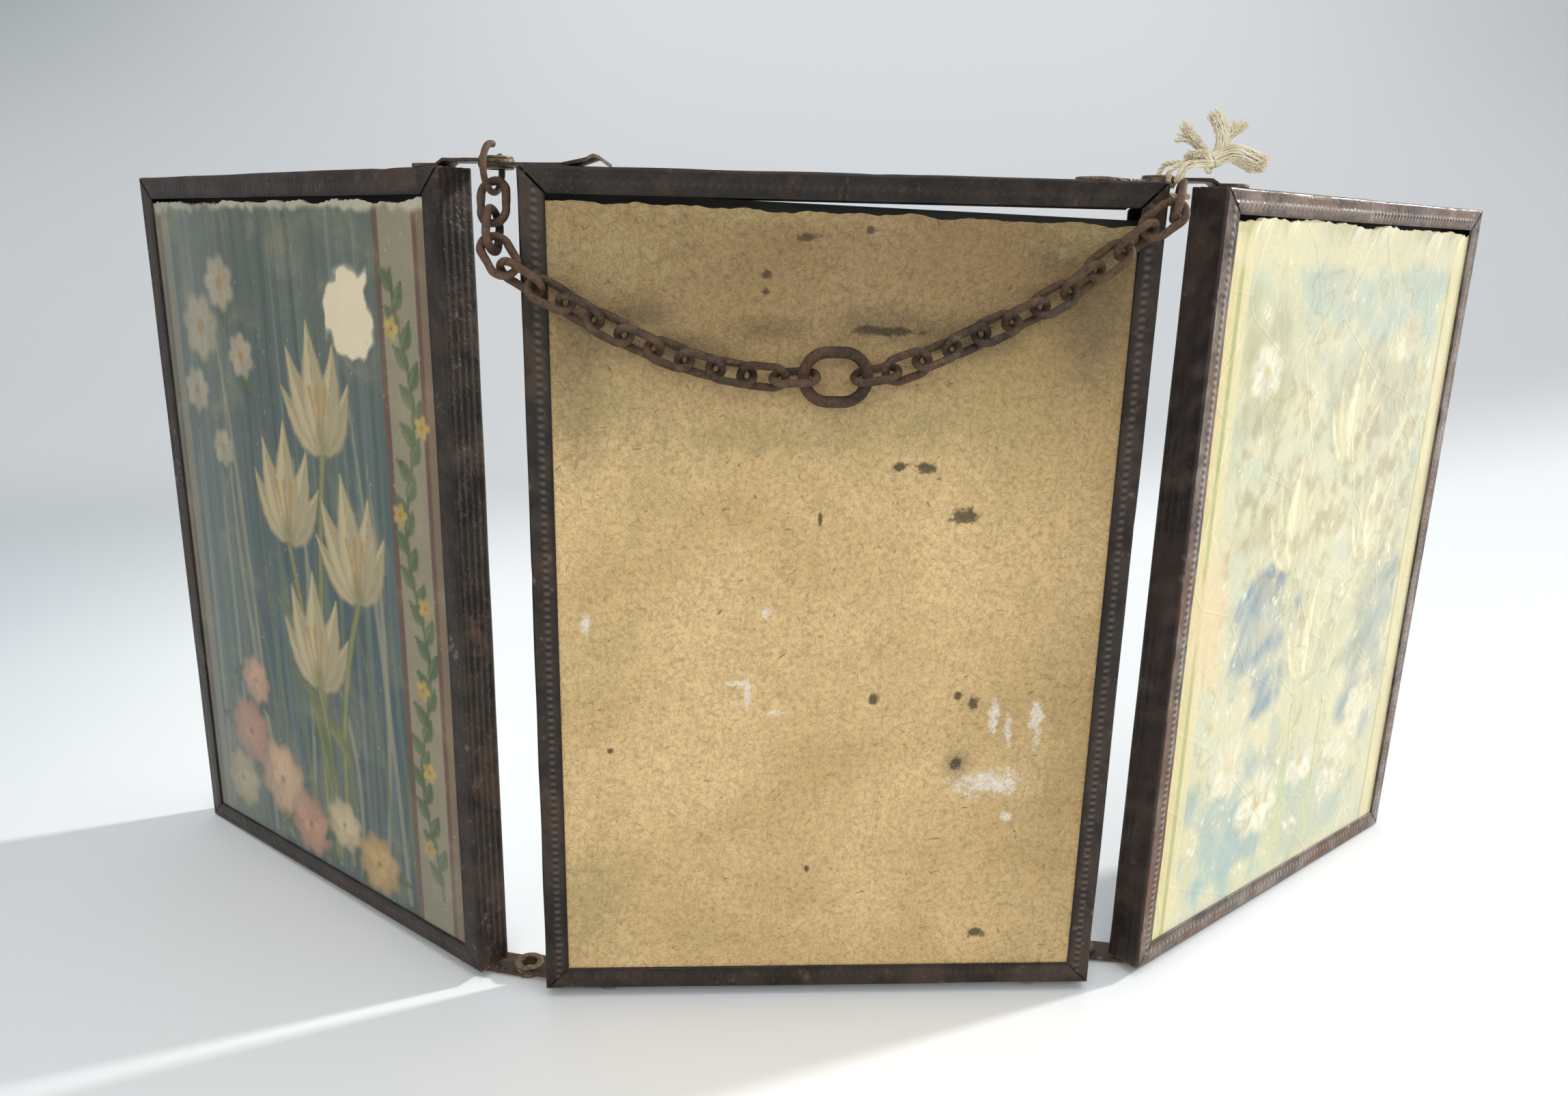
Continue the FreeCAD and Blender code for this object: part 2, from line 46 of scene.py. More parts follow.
# A node tree with short calls for its common nodes: a socket given as a value is linked, anything else is set
class Shade:
    def __init__(self, tree):
        self.tree = tree

    def link(self, value, socket):
        if isinstance(value, bpy.types.NodeSocket):
            self.tree.links.new(value, socket)
        elif socket.type == "RGBA":
            socket.default_value = (*value, 1.0)
        else:
            socket.default_value = value

    def node(self, kind, inputs=None, **props):
        made = self.tree.nodes.new(kind)
        for key, value in props.items():
            setattr(made, key, value)
        for key, value in (inputs or {}).items():
            self.link(value, made.inputs[key])
        return made

    def math(self, operation, first, second=0.0, clamp=False):
        values = {0: first, 1: second}
        return self.node("ShaderNodeMath", values, operation=operation, use_clamp=clamp).outputs[0]

    def plus(self, first, second, clamp=False):
        return self.math("ADD", first, second, clamp)

    def minus(self, first, second):
        return self.math("SUBTRACT", first, second)

    def times(self, first, second, clamp=False):
        return self.math("MULTIPLY", first, second, clamp)

    def larger(self, first, second):
        return self.math("MAXIMUM", first, second)

    def mix(self, factor, first, second, blend="MIX"):
        made = self.node("ShaderNodeMix", data_type="RGBA", blend_type=blend, clamp_factor=True)
        for index, value in ((0, factor), (6, first), (7, second)):
            self.link(value, made.inputs[index])
        return made.outputs[2]

    def ramp(self, factor, low, high):
        values = {"Value": factor, "From Min": low, "From Max": high}
        made = self.node("ShaderNodeMapRange", values, clamp=True, interpolation_type="SMOOTHSTEP")
        return made.outputs["Result"]

    def noise(self, vector, scale, detail=4.0, rough=0.55, distort=0.0):
        values = {"Vector": vector, "Scale": scale, "Detail": detail, "Roughness": rough}
        values["Distortion"] = distort
        return self.node("ShaderNodeTexNoise", values).outputs["Fac"]

    def cells(self, vector, scale, feature="F1"):
        values = {"Vector": vector, "Scale": scale}
        return self.node("ShaderNodeTexVoronoi", values, feature=feature).outputs["Distance"]

    def mapped(self, vector, **values):
        return self.node("ShaderNodeMapping", {"Vector": vector, **values}).outputs["Vector"]

    def axes(self, vector):
        return self.node("ShaderNodeSeparateXYZ", {"Vector": vector}).outputs

    def attribute(self, name, output="Fac"):
        return self.node("ShaderNodeAttribute", attribute_name=name).outputs[output]

    def bump(self, height, strength, distance):
        values = {"Height": height, "Strength": strength, "Distance": distance}
        return self.node("ShaderNodeBump", values).outputs["Normal"]

    def group(self, group, inputs):
        return self.node("ShaderNodeGroup", inputs, node_tree=group).outputs


def newGroup(name, inputs, outputs):
    tree = bpy.data.node_groups.new(name, "ShaderNodeTree")
    for key, kind, value in inputs:
        socket = tree.interface.new_socket(key, in_out="INPUT", socket_type=kind)
        if value is not None:
            socket.default_value = value
    for key in outputs:
        tree.interface.new_socket(key, in_out="OUTPUT", socket_type="NodeSocketFloat")
    return Shade(tree), tree.nodes.new("NodeGroupInput").outputs, tree.nodes.new("NodeGroupOutput").inputs


def newMaterial(name):
    # A plain surface with its sockets open, and its Object coordinates
    material = bpy.data.materials.new(name)
    material.use_nodes = True
    shade = Shade(material.node_tree)
    shade.tree.nodes.clear()
    output = shade.node("ShaderNodeOutputMaterial")
    shader = shade.node("ShaderNodeBsdfPrincipled")
    shade.link(shader.outputs[0], output.inputs[0])
    return material, shade, shader.inputs, shade.node("ShaderNodeTexCoord").outputs["Object"]


def dress(shade, surface, color, rough, **sockets):
    shade.link(color, surface["Base Color"])
    shade.link(rough, surface["Roughness"])
    for key, value in sockets.items():
        shade.link(value, surface[key])


# Rust and wear, shared by all the metal
def makeRustGroup():
    inputs = (("Vector", "NodeSocketVector", None), ("Amount", "NodeSocketFloat", 0.5))
    shade, given, result = newGroup("rustAndWear", inputs, ("Rust", "Grain", "Pits"))
    place = given["Vector"]
    broad = shade.noise(place, 60.0, 6.0, 0.65, 0.6)
    fine = shade.noise(place, 420.0, 5.0, 0.7)
    pits = shade.cells(place, 700.0)
    both = shade.plus(shade.times(broad, 0.7), shade.times(fine, 0.3))
    low = shade.plus(shade.times(shade.minus(1.0, given["Amount"]), 0.5), 0.15)
    shade.link(shade.ramp(shade.minus(both, low), 0.0, 0.16), result["Rust"])
    shade.link(fine, result["Grain"])
    shade.link(shade.ramp(pits, 0.12, 0.4), result["Pits"])
    return shade.tree


rustGroup = makeRustGroup()

# Each metal: its four colours, how much is rusted and worn, and its shine
# A frame has dirt and painted shade on its points, and worn teeth with a painted highlight; the rest a crust
metalValues = {
    "darkTin": {
        "dark": (0.014, 0.0098, 0.0072), "mid": (0.036, 0.0265, 0.0195), "rust": (0.056, 0.033, 0.0195),
        "bright": (0.20, 0.155, 0.12),
        "amount": 0.34, "wear": 0.5, "metallic": 0.2, "roughness": 0.38, "frame": True,
    },
    "rustyTin": {
        "dark": (0.062, 0.045, 0.036), "mid": (0.23, 0.172, 0.140), "rust": (0.15, 0.082, 0.052),
        "bright": (0.60, 0.52, 0.45),
        "amount": 0.42, "wear": 0.8, "metallic": 0.25, "roughness": 0.38, "frame": True,
    },
    "tabTin": {
        "dark": (0.030, 0.022, 0.016), "mid": (0.078, 0.056, 0.038), "rust": (0.10, 0.056, 0.030),
        "bright": (0.42, 0.33, 0.22),
        "amount": 0.4, "wear": 0.8, "metallic": 0.4, "roughness": 0.36, "frame": False,
    },
    "chainIron": {
        "dark": (0.014, 0.0092, 0.0062), "mid": (0.042, 0.0275, 0.018), "rust": (0.085, 0.043, 0.021),
        "bright": (0.20, 0.145, 0.10),
        "amount": 0.5, "wear": 0.6, "metallic": 0.15, "roughness": 0.5, "frame": False,
    },
    "brassDull": {
        "dark": (0.05, 0.034, 0.018), "mid": (0.13, 0.09, 0.045), "rust": (0.09, 0.05, 0.024),
        "bright": (0.5, 0.4, 0.22),
        "amount": 0.35, "wear": 0.7, "metallic": 0.6, "roughness": 0.36, "frame": False,
    },
}


def darker(color, share):
    return tuple(v * share for v in color)


def metalMaterial(name):
    values = metalValues[name]
    material, shade, surface, place = newMaterial(name)
    masks = shade.group(rustGroup, {"Vector": place, "Amount": values["amount"]})
    tone = shade.noise(place, 130.0, 5.0, 0.6)
    color = shade.mix(shade.ramp(tone, 0.35, 0.65), values["dark"], values["mid"])
    color = shade.mix(masks["Rust"], color, values["rust"])
    color = shade.mix(shade.times(shade.ramp(masks["Grain"], 0.6, 0.72), 0.45), color, values["bright"])
    edges = shade.ramp(shade.node("ShaderNodeNewGeometry").outputs["Pointiness"], 0.515, 0.58)
    worn = shade.times(shade.times(edges, values["wear"]), shade.ramp(tone, 0.3, 0.6))
    color = shade.mix(worn, color, values["bright"])
    height = shade.plus(masks["Grain"], shade.times(masks["Pits"], 0.5))
    if values["frame"]:
        # On a frame: wear with a painted highlight on the raised teeth, then dirt with painted shade
        color = shade.mix(shade.times(shade.attribute("wearAndHighlight"), 0.6), color, values["bright"])
        color = shade.mix(shade.attribute("dirtAndShade"), color, darker(values["dark"], 0.3))
        normal = shade.bump(height, 0.5, 0.0002)
    else:
        crust = shade.noise(place, 1300.0, 4.0, 0.7)
        pits = shade.times(shade.ramp(crust, 0.5, 0.68), 0.6)
        color = shade.mix(pits, color, darker(values["dark"], 0.5))
        normal = shade.bump(shade.plus(height, crust), 0.7, 0.0004)
    rough = shade.plus(values["roughness"], shade.times(masks["Rust"], 0.25), True)
    shine = shade.times(values["metallic"], shade.minus(1.0, masks["Rust"]), True)
    dress(shade, surface, color, rough, Metallic=shine, Normal=normal)
    surface["Specular IOR Level"].default_value = 0.32
    return material


darkTin, rustyTin, tabTin, chainIron, brassDull = [metalMaterial(name) for name in metalValues]


# Board: straw chipboard with fibres, flecks, stains and scuffs, and smudges that are partly a painted shadow
# of the chain
def strewn(shade, place, turns, stretch, detail, rough, distort, low, high):
    # Short strands lying in a few directions
    total = None
    for turn, scale in turns:
        spun = shade.mapped(place, Rotation=(0, turn, 0))
        thin = shade.mapped(spun, Scale=(1.0, 1.0, stretch))
        layer = shade.ramp(shade.noise(thin, scale, detail, rough, distort), low, high)
        total = layer if total is None else shade.larger(total, layer)
    return total


def makeFibreGroup():
    inputs = (("Vector", "NodeSocketVector", None),)
    shade, given, result = newGroup("boardFibres", inputs, ("Fibre", "Fleck", "Cloud"))
    place = given["Vector"]
    fibreTurns = ((0.3, 330.0), (1.35, 390.0), (2.4, 360.0))
    fleckTurns = ((0.9, 380.0), (2.1, 460.0), (0.1, 420.0))
    shade.link(strewn(shade, place, fibreTurns, 5.0, 2.0, 0.5, 1.2, 0.57, 0.7), result["Fibre"])
    shade.link(strewn(shade, place, fleckTurns, 3.4, 1.0, 0.4, 0.6, 0.75, 0.81), result["Fleck"])
    shade.link(shade.noise(place, 26.0, 5.0, 0.6, 0.4), result["Cloud"])
    return shade.tree


fibreGroup = makeFibreGroup()


def spotMask(shade, place, x, z, wide, tall, soft, ragged):
    # A ragged patch round a point on the board, one inside and nothing outside
    values = {0: place, 1: (x * mm, 0, z * mm)}
    moved = shade.node("ShaderNodeVectorMath", values, operation="SUBTRACT").outputs[0]
    sized = shade.mapped(moved, Scale=(1 / (wide * mm), 0.0, 1 / (tall * mm)))
    far = shade.node("ShaderNodeVectorMath", {0: sized}, operation="LENGTH").outputs["Value"]
    rough = shade.minus(shade.noise(place, 420.0, 6.0, 0.75), 0.5)
    bent = shade.plus(far, shade.times(rough, ragged * 2))
    return shade.minus(1.0, shade.ramp(bent, 1.0 - soft, 1.0 + soft))


# Each kind of mark: how soft and ragged its edge is, its strength and colour
# Its spots are given as x, z and the two half sizes, in mm
boardMarks = {
    # Smudges, most of them along the chain's path, partly rubbed dirt and partly a painted shadow of the
    # chain
    "smudgeAndChainShadow": {
        "soft": 0.8, "ragged": 0.8, "strength": 0.45, "tint": (0.075, 0.054, 0.028),
        "spots": (
            (-14.5, 148.5, 6.5, 2.2), (-40, 151, 6.0, 2.8), (46, 164, 8.0, 3.0), (-52, 140, 5.0, 16.0),
            (50, 150, 6.0, 10.0), (-30, 144, 9.0, 3.0), (24, 148, 9.0, 3.0), (8, 150, 9.0, 3.0),
            (28.5, 55.4, 3.0, 3.0),
        ),
    },
    "fray": {
        "soft": 0.8, "ragged": 3.5, "strength": 0.5, "tint": (0.36, 0.29, 0.125),
        "spots": (
            (-45.8, 161.7, 10.0, 5.0), (-10.8, 126.9, 24.0, 2.4), (49.7, 167.0, 8.0, 4.6),
            (-21.5, 170.1, 12.0, 1.6), (-48.0, 134.0, 9.0, 5.0), (-52.0, 22.0, 6.0, 9.0),
            (20.0, 131.0, 16.0, 3.0),
        ),
    },
    "dark": {
        "soft": 0.35, "ragged": 1.7, "strength": 0.85, "tint": (0.05, 0.033, 0.016),
        "spots": (
            (-7.6, 166.0, 2.2, 0.9), (-15.1, 158.9, 0.9, 0.8), (-15.4, 155.5, 0.8, 0.8),
            (8.8, 148.6, 5.6, 0.9),
            (18.0, 121.2, 1.8, 1.3), (12.7, 121.4, 1.4, 0.8), (26.6, 111.3, 2.6, 1.5), (9.5, 70.6, 1.1, 1.0),
            (27.7, 71.4, 0.7, 0.9), (31.2, 69.6, 1.0, 1.5), (-47.1, 58.7, 0.8, 0.8), (35.3, 13.1, 1.9, 1.1),
            (-4.0, 30.0, 0.5, 0.8), (28.2, 55.4, 1.1, 1.3), (-3.4, 110.3, 0.4, 1.4), (4.7, 167.5, 0.8, 0.7),
        ),
    },
    "pale": {
        "soft": 0.6, "ragged": 2.8, "strength": 0.62, "tint": (0.80, 0.77, 0.70),
        "spots": (
            (35.6, 50.9, 6.4, 2.6), (45.2, 64.7, 1.1, 4.2), (35.8, 66.6, 0.9, 2.6), (39.3, 63.1, 0.7, 3.0),
            (-20.5, 74.2, 1.8, 0.5), (-17.7, 70.9, 0.5, 2.6), (-10.9, 67.4, 2.6, 0.5),
            (-51.7, 87.4, 0.8, 1.5), (-13.9, 90.0, 0.8, 0.8), (40.4, 42.6, 1.0, 0.8),
        ),
    },
}
boardColors = {
    "mid": (0.565, 0.388, 0.169), "light": (0.745, 0.532, 0.262), "fibre": (0.74, 0.57, 0.31),
    "grain": (0.30, 0.195, 0.08), "fleck": (0.12, 0.072, 0.03), "top": (0.46, 0.44, 0.42),
    "side": (0.73, 0.71, 0.68), "olive": (0.36, 0.28, 0.10),
}


def boardMaterial():
    material, shade, surface, place = newMaterial("strawBoard")
    masks = shade.group(fibreGroup, {"Vector": place})
    color = shade.mix(shade.ramp(masks["Cloud"], 0.3, 0.7), boardColors["mid"], boardColors["light"])
    color = shade.mix(shade.times(masks["Fibre"], 0.4), color, boardColors["fibre"])
    grain = shade.noise(place, 900.0, 3.0, 0.65)
    color = shade.mix(shade.times(shade.ramp(grain, 0.42, 0.75), 0.5), color, boardColors["grain"])
    color = shade.mix(shade.times(masks["Fleck"], 0.6), color, boardColors["fleck"])
    axes = shade.axes(place)
    unevenly = shade.times(shade.minus(masks["Cloud"], 0.5), 0.04)
    darkened = shade.ramp(shade.plus(axes["Z"], unevenly), 0.11, 0.162)
    color = shade.mix(darkened, color, boardColors["top"], "MULTIPLY")
    color = shade.mix(shade.ramp(axes["X"], 0.02, 0.062), color, boardColors["side"], "MULTIPLY")
    stain = shade.times(shade.ramp(shade.noise(place, 18.0, 3.0, 0.5), 0.52, 0.72), 0.25)
    color = shade.mix(stain, color, boardColors["olive"])
    for look in boardMarks.values():
        for spot in look["spots"]:
            mask = spotMask(shade, place, *spot, look["soft"], look["ragged"])
            color = shade.mix(shade.times(mask, look["strength"]), color, look["tint"])
    height = shade.plus(masks["Fibre"], shade.times(grain, 0.6))
    dress(shade, surface, color, 0.86, Normal=shade.bump(height, 0.7, 0.0003))
    return material


strawBoard = boardMaterial()


def mirrorMaterial():
    # Silver on the mirror side, dark protective paint on the back and edges
    material, shade, surface, place = newMaterial("silveredGlass")
    blotch = shade.noise(place, 45.0, 6.0, 0.7, 0.8)
    dots = shade.minus(1.0, shade.ramp(shade.cells(place, 260.0), 0.05, 0.11))
    worn = shade.larger(shade.ramp(blotch, 0.68, 0.74), shade.times(dots, shade.ramp(blotch, 0.5, 0.62)))
    painted = shade.attribute("painted")
    dull = shade.larger(worn, painted)
    color = shade.mix(worn, (0.80, 0.82, 0.81), (0.07, 0.062, 0.052))
    color = shade.mix(painted, color, (0.014, 0.011, 0.010))
    rough = shade.plus(shade.times(dull, 0.5), 0.03)
    dress(shade, surface, color, rough, Metallic=shade.minus(1.0, dull))
    return material


silveredGlass = mirrorMaterial()


def printMaterial(name, gloss, crumple):
    # The print's colours are painted on its points; age, creases and varnish are added here
    material, shade, surface, place = newMaterial(name)
    cloud = shade.noise(place, 55.0, 6.0, 0.65, 0.7)
    fine = shade.noise(place, 900.0, 3.0, 0.6)
    crease = shade.minus(1.0, shade.ramp(shade.cells(place, 38.0, "DISTANCE_TO_EDGE"), 0.0, 0.02))
    yellowed = shade.times(shade.ramp(cloud, 0.45, 0.8), 0.25)
    color = shade.mix(yellowed, shade.attribute("paint", "Color"), (0.52, 0.44, 0.24))
    color = shade.mix(shade.times(shade.ramp(fine, 0.55, 0.8), 0.18), color, (0.08, 0.07, 0.05))
    ridges = shade.math("ABSOLUTE", shade.minus(shade.noise(place, 70.0, 5.0, 0.6, 1.0), 0.5))
    height = shade.plus(cloud, shade.times(crease, 0.15))
    normal = shade.bump(shade.minus(height, shade.times(ridges, crumple)), 0.4, 0.0008)
    dress(shade, surface, color, shade.plus(gloss, shade.times(cloud, 0.2)), Normal=normal)
    return material


leftPaper = printMaterial("leftPaper", 0.42, 0.4)
rightPaper = printMaterial("rightPaper", 0.3, 1.3)


def cottonMaterial():
    # Cream cotton, browned by rust where it goes down through the eyelet
    material, shade, surface, place = newMaterial("cotton")
    cloud = shade.noise(place, 320.0, 3.0, 0.6)
    low = shade.minus(1.0, shade.ramp(shade.axes(place)["Z"], 0.1765, 0.1815))
    stain = shade.times(shade.times(low, 0.8), shade.ramp(cloud, 0.2, 0.6))
    color = shade.mix(shade.ramp(cloud, 0.35, 0.65), (0.80, 0.74, 0.58), (0.66, 0.58, 0.40))
    color = shade.mix(stain, color, (0.30, 0.17, 0.08))
    dress(shade, surface, color, 0.9, Normal=shade.bump(shade.noise(place, 1500.0, 3.0, 0.6), 0.5, 0.0002))
    surface["Subsurface Weight"].default_value = 0.15
    surface["Subsurface Radius"].default_value = (0.001, 0.0008, 0.0005)
    return material


cotton = cottonMaterial()
print("stage: materials made")


# Mesh helpers
def bearing(turn):
    return math.cos(math.radians(turn)), math.sin(math.radians(turn))


def addObject(name, data):
    made = bpy.data.objects.new(name, data)
    scene.collection.objects.link(made)
    return made


def quads(rows, columns, around=False, closed=False):
    # Faces of a grid of points; a tube goes around in each row, and is capped unless it is closed on itself
    faces = []
    for r in range(rows if closed else rows - 1):
        below = (r + 1) % rows * columns
        for c in range(columns if around else columns - 1):
            after = (c + 1) % columns
            faces.append((r * columns + c, r * columns + after, below + after, below + c))
    if around and not closed:
        faces += [tuple(range(columns)), tuple(range((rows - 1) * columns, rows * columns))]
    return faces


def joined(parts):
    points = []
    faces = []
    for morePoints, moreFaces in parts:
        faces += [tuple(i + len(points) for i in face) for face in moreFaces]
        points += list(morePoints)
    return points, faces


def meshOf(name, points, faces):
    # Points are in millimetres
    mesh = bpy.data.meshes.new(name)
    mesh.from_pydata([tuple(float(c) * mm for c in p) for p in points], [], faces)
    return mesh


def finishMesh(name, points, faces, material, body, slot, replaced, smooth=40.0):
    return finishObject(name, meshOf(name, points, faces), material, body, replaced, smooth)


def finishObject(name, mesh, material, body, replaced, smooth):
    edit = bmesh.new()
    edit.from_mesh(mesh)
    bmesh.ops.remove_doubles(edit, verts=edit.verts, dist=1e-7)
    bmesh.ops.recalc_face_normals(edit, faces=edit.faces)
    for face in edit.faces:
        face.smooth = True
    for line in edit.edges:
        line.smooth = line.calc_face_angle(0.0) < math.radians(smooth)
    edit.to_mesh(mesh)
    edit.free()
    mesh.materials.clear()
    mesh.materials.append(material)
    made = addObject(name, mesh)
    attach(made, body)
    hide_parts(*replaced)
    return made


def waves(seed, count, low, high):
    # A smooth random wobble of a place, as a sum of sines with fixed phases
    pick = np.random.default_rng(seed)
    ways = pick.normal(size=(count, 3))
    ways /= np.linalg.norm(ways, axis=1)[:, None]
    rates = 2 * math.pi / np.exp(pick.uniform(math.log(low), math.log(high), count))
    shifts = pick.uniform(0, 2 * math.pi, count)

    def wobble(places):
        total = np.zeros(len(places))
        for way, rate, shift in zip(ways, rates, shifts):
            total += np.sin(places @ way * rate + shift)
        return total / math.sqrt(count)

    return wobble


# Panels: their own frames, in millimetres, and how they stand in the row
panelValues = {
    "center": {"width": 125.0, "low": 0.0, "pivot": (0.0, 0.0), "turn": 0.0, "shift": (0.0, 0.0)},
    "left": {"width": 120.6, "low": 0.3, "pivot": (-67.9, 5.8), "turn": -39.5, "shift": (-65.7, -5.8)},
    "right": {"width": 120.6, "low": 0.3, "pivot": (65.2, 10.3), "turn": 35.0, "shift": (63.0, -10.3)},
}
panelHeight = 178.0
panelDepth = 8.4


def panelSpin(values):
    c, s = bearing(values["turn"])
    return np.array([[c, s], [-s, c]])


def toRow(panel, places):
    values = panelValues[panel]
    places = np.asarray(places, float)
    flat = (places[:, :2] + values["shift"]) @ panelSpin(values) + values["pivot"]
    return np.column_stack([flat, places[:, 2]])


def fromRow(panel, places):
    values = panelValues[panel]
    flat = (places[:, :2] - values["pivot"]) @ panelSpin(values).T - values["shift"]
    return np.column_stack([flat, places[:, 2]])


# Frames: a swept channel with rounded corners, a notched bead on the lip and grooves on the wall
frameValues = {
    "tin": 0.5, "lip": 5.2, "corner": 0.6, "step": 0.45, "pitch": 1.65, "beadLine": 3.12, "beadHalf": 0.5,
    "grooves": (1.9, 3.5, 5.1, 6.7), "grooveHalf": 0.35, "waver": 0.07, "sway": 0.06, "endRun": 6.0,
    "dentReach": (0.8, 2.6), "backDent": (0.05, 0.2), "wallDent": (0.05, 0.22),
}


def channelSection(groove):
    tin = frameValues["tin"]
    lip = frameValues["lip"]
    corner = frameValues["corner"]
    outer = [(lip, 0.45), (lip, 0.2), (lip - 0.1, 0.05)]
    outer += [(s, 0.0) for s in np.linspace(lip - 0.35, corner, 15)]
    outer += [(corner - corner * math.sin(a), corner - corner * math.cos(a)) for a in (0.4, 0.8, 1.2)]
    for n in np.linspace(corner, panelDepth - corner, 19):
        dip = sum(math.exp(-(((n - at) / frameValues["grooveHalf"]) ** 2)) for at in frameValues["grooves"])
        outer.append((groove * dip, n))
    far = panelDepth - corner
    outer += [(corner - corner * math.cos(a), far + corner * math.sin(a)) for a in (0.4, 0.8, 1.2)]
    outer += [(s, panelDepth) for s in np.linspace(corner, lip, 6)]
    inner = [(lip, panelDepth - tin), (tin + groove, panelDepth - tin), (tin + groove, tin), (lip - 0.2, tin)]
    return np.array(outer + inner)


def channelStrip(length, seed, bead, groove, dents):
    # Points as (along, inwards, depth); the mitred ends run back as the lip goes inwards
    section = channelSection(groove)
    count = max(8, int(length / frameValues["step"]))
    start, depth = section.T
    end = length - start
    rows = []
    for k in range(count + 1):
        share = k / count
        rows.append(np.column_stack([start + (end - start) * share, start, depth]))
    places = np.vstack(rows)
    size = len(section)
    onBack = (places[:, 2] < 0.3) & (places[:, 1] > 0.7)
    ridge = np.exp(-(((places[:, 1] - frameValues["beadLine"]) / frameValues["beadHalf"]) ** 2)) * onBack
    notch = 0.5 + 0.5 * np.cos(2 * math.pi * places[:, 0] / frameValues["pitch"])
    uneven = 0.75 + 0.25 * waves(seed + 5, 6, 12, 60)(places)
    places[:, 2] -= bead * ridge * (0.1 + 0.9 * notch) * np.clip(uneven, 0.1, 1.2)
    wobble = waves(seed, 10, 14, 70)(places)
    sway = waves(seed + 1, 10, 18, 90)(places)
    outerFace = np.isin(np.arange(len(places)) % size, np.arange(size - 4))
    fade = np.clip(np.minimum(places[:, 0], length - places[:, 0]) / frameValues["endRun"], 0, 1)
    places[:, 2] += frameValues["waver"] * wobble * onBack * fade
    onWall = (places[:, 1] < 0.5) & outerFace
    places[:, 1] += frameValues["sway"] * (sway + 1.0) * onWall * fade
    pick = np.random.default_rng(seed + 9)
    for _ in range(dents):
        spot = np.array([pick.uniform(5, length - 5), pick.uniform(0, 4), pick.choice([0.0, 0.0, 4.0])])
        reach = pick.uniform(*frameValues["dentReach"])
        hit = np.exp(-(np.linalg.norm(places - spot, axis=1) / reach) ** 2) * outerFace
        places[:, 2] += pick.uniform(*frameValues["backDent"]) * hit * onBack
        places[:, 1] += pick.uniform(*frameValues["wallDent"]) * hit * onWall
    return places, quads(count + 1, size, True)


def stripPlaces(panel, side, strip):
    values = panelValues[panel]
    half = values["width"] / 2
    low = values["low"]
    along, inward, depth = strip[:, 0], strip[:, 1], strip[:, 2] - panelDepth / 2
    if side == "left":
        return np.column_stack([-half + inward, depth, low + along])
    if side == "right":
        return np.column_stack([half - inward, depth, low + along])
    if side == "bottom":
        return np.column_stack([-half + along, depth, low + inward])
    return np.column_stack([-half + along, depth, panelHeight - low - inward])


# Each strip's bead height and groove depth in mm, and its count of dents
stripLooks = {
    ("center", "left"): (0.34, 0.09, 6),
    ("center", "right"): (0.42, 0.09, 6),
    ("center", "bottom"): (0.06, 0.09, 7),
    ("center", "top"): (0.10, 0.09, 8),
    ("left", "left"): (0.12, 0.09, 5),
    ("left", "right"): (0.03, 0.12, 8),
    ("left", "bottom"): (0.10, 0.09, 6),
    ("left", "top"): (0.06, 0.09, 6),
    ("right", "left"): (0.34, 0.09, 9),
    ("right", "right"): (0.14, 0.09, 6),
    ("right", "bottom"): (0.30, 0.09, 8),
    ("right", "top"): (0.40, 0.09, 6),
}


def readPlaces(mesh):
    places = np.empty(len(mesh.vertices) * 3)
    mesh.vertices.foreach_get("co", places)
    return places.reshape(-1, 3)


# How dark each kind of dirt and painted shade is, from 0 to 1, and where it lies in mm from the panel's edge
dirtAndShadeValues = {
    "walls": {"center": 0.65, "left": 0.1, "right": 0.88}, "wallDepth": 0.45, "wallMost": 0.92, "patchy": 0.1,
    "lip": 0.75, "lipFrom": 4.3, "lipRun": 0.8, "centerTop": 0.5, "centerTopDepth": 5.5,
    "seam": 0.9, "seamHalf": 0.55, "seamReach": 6.0, "teeth": 0.85, "teethHalf": 0.75, "fullBead": 0.36,
}


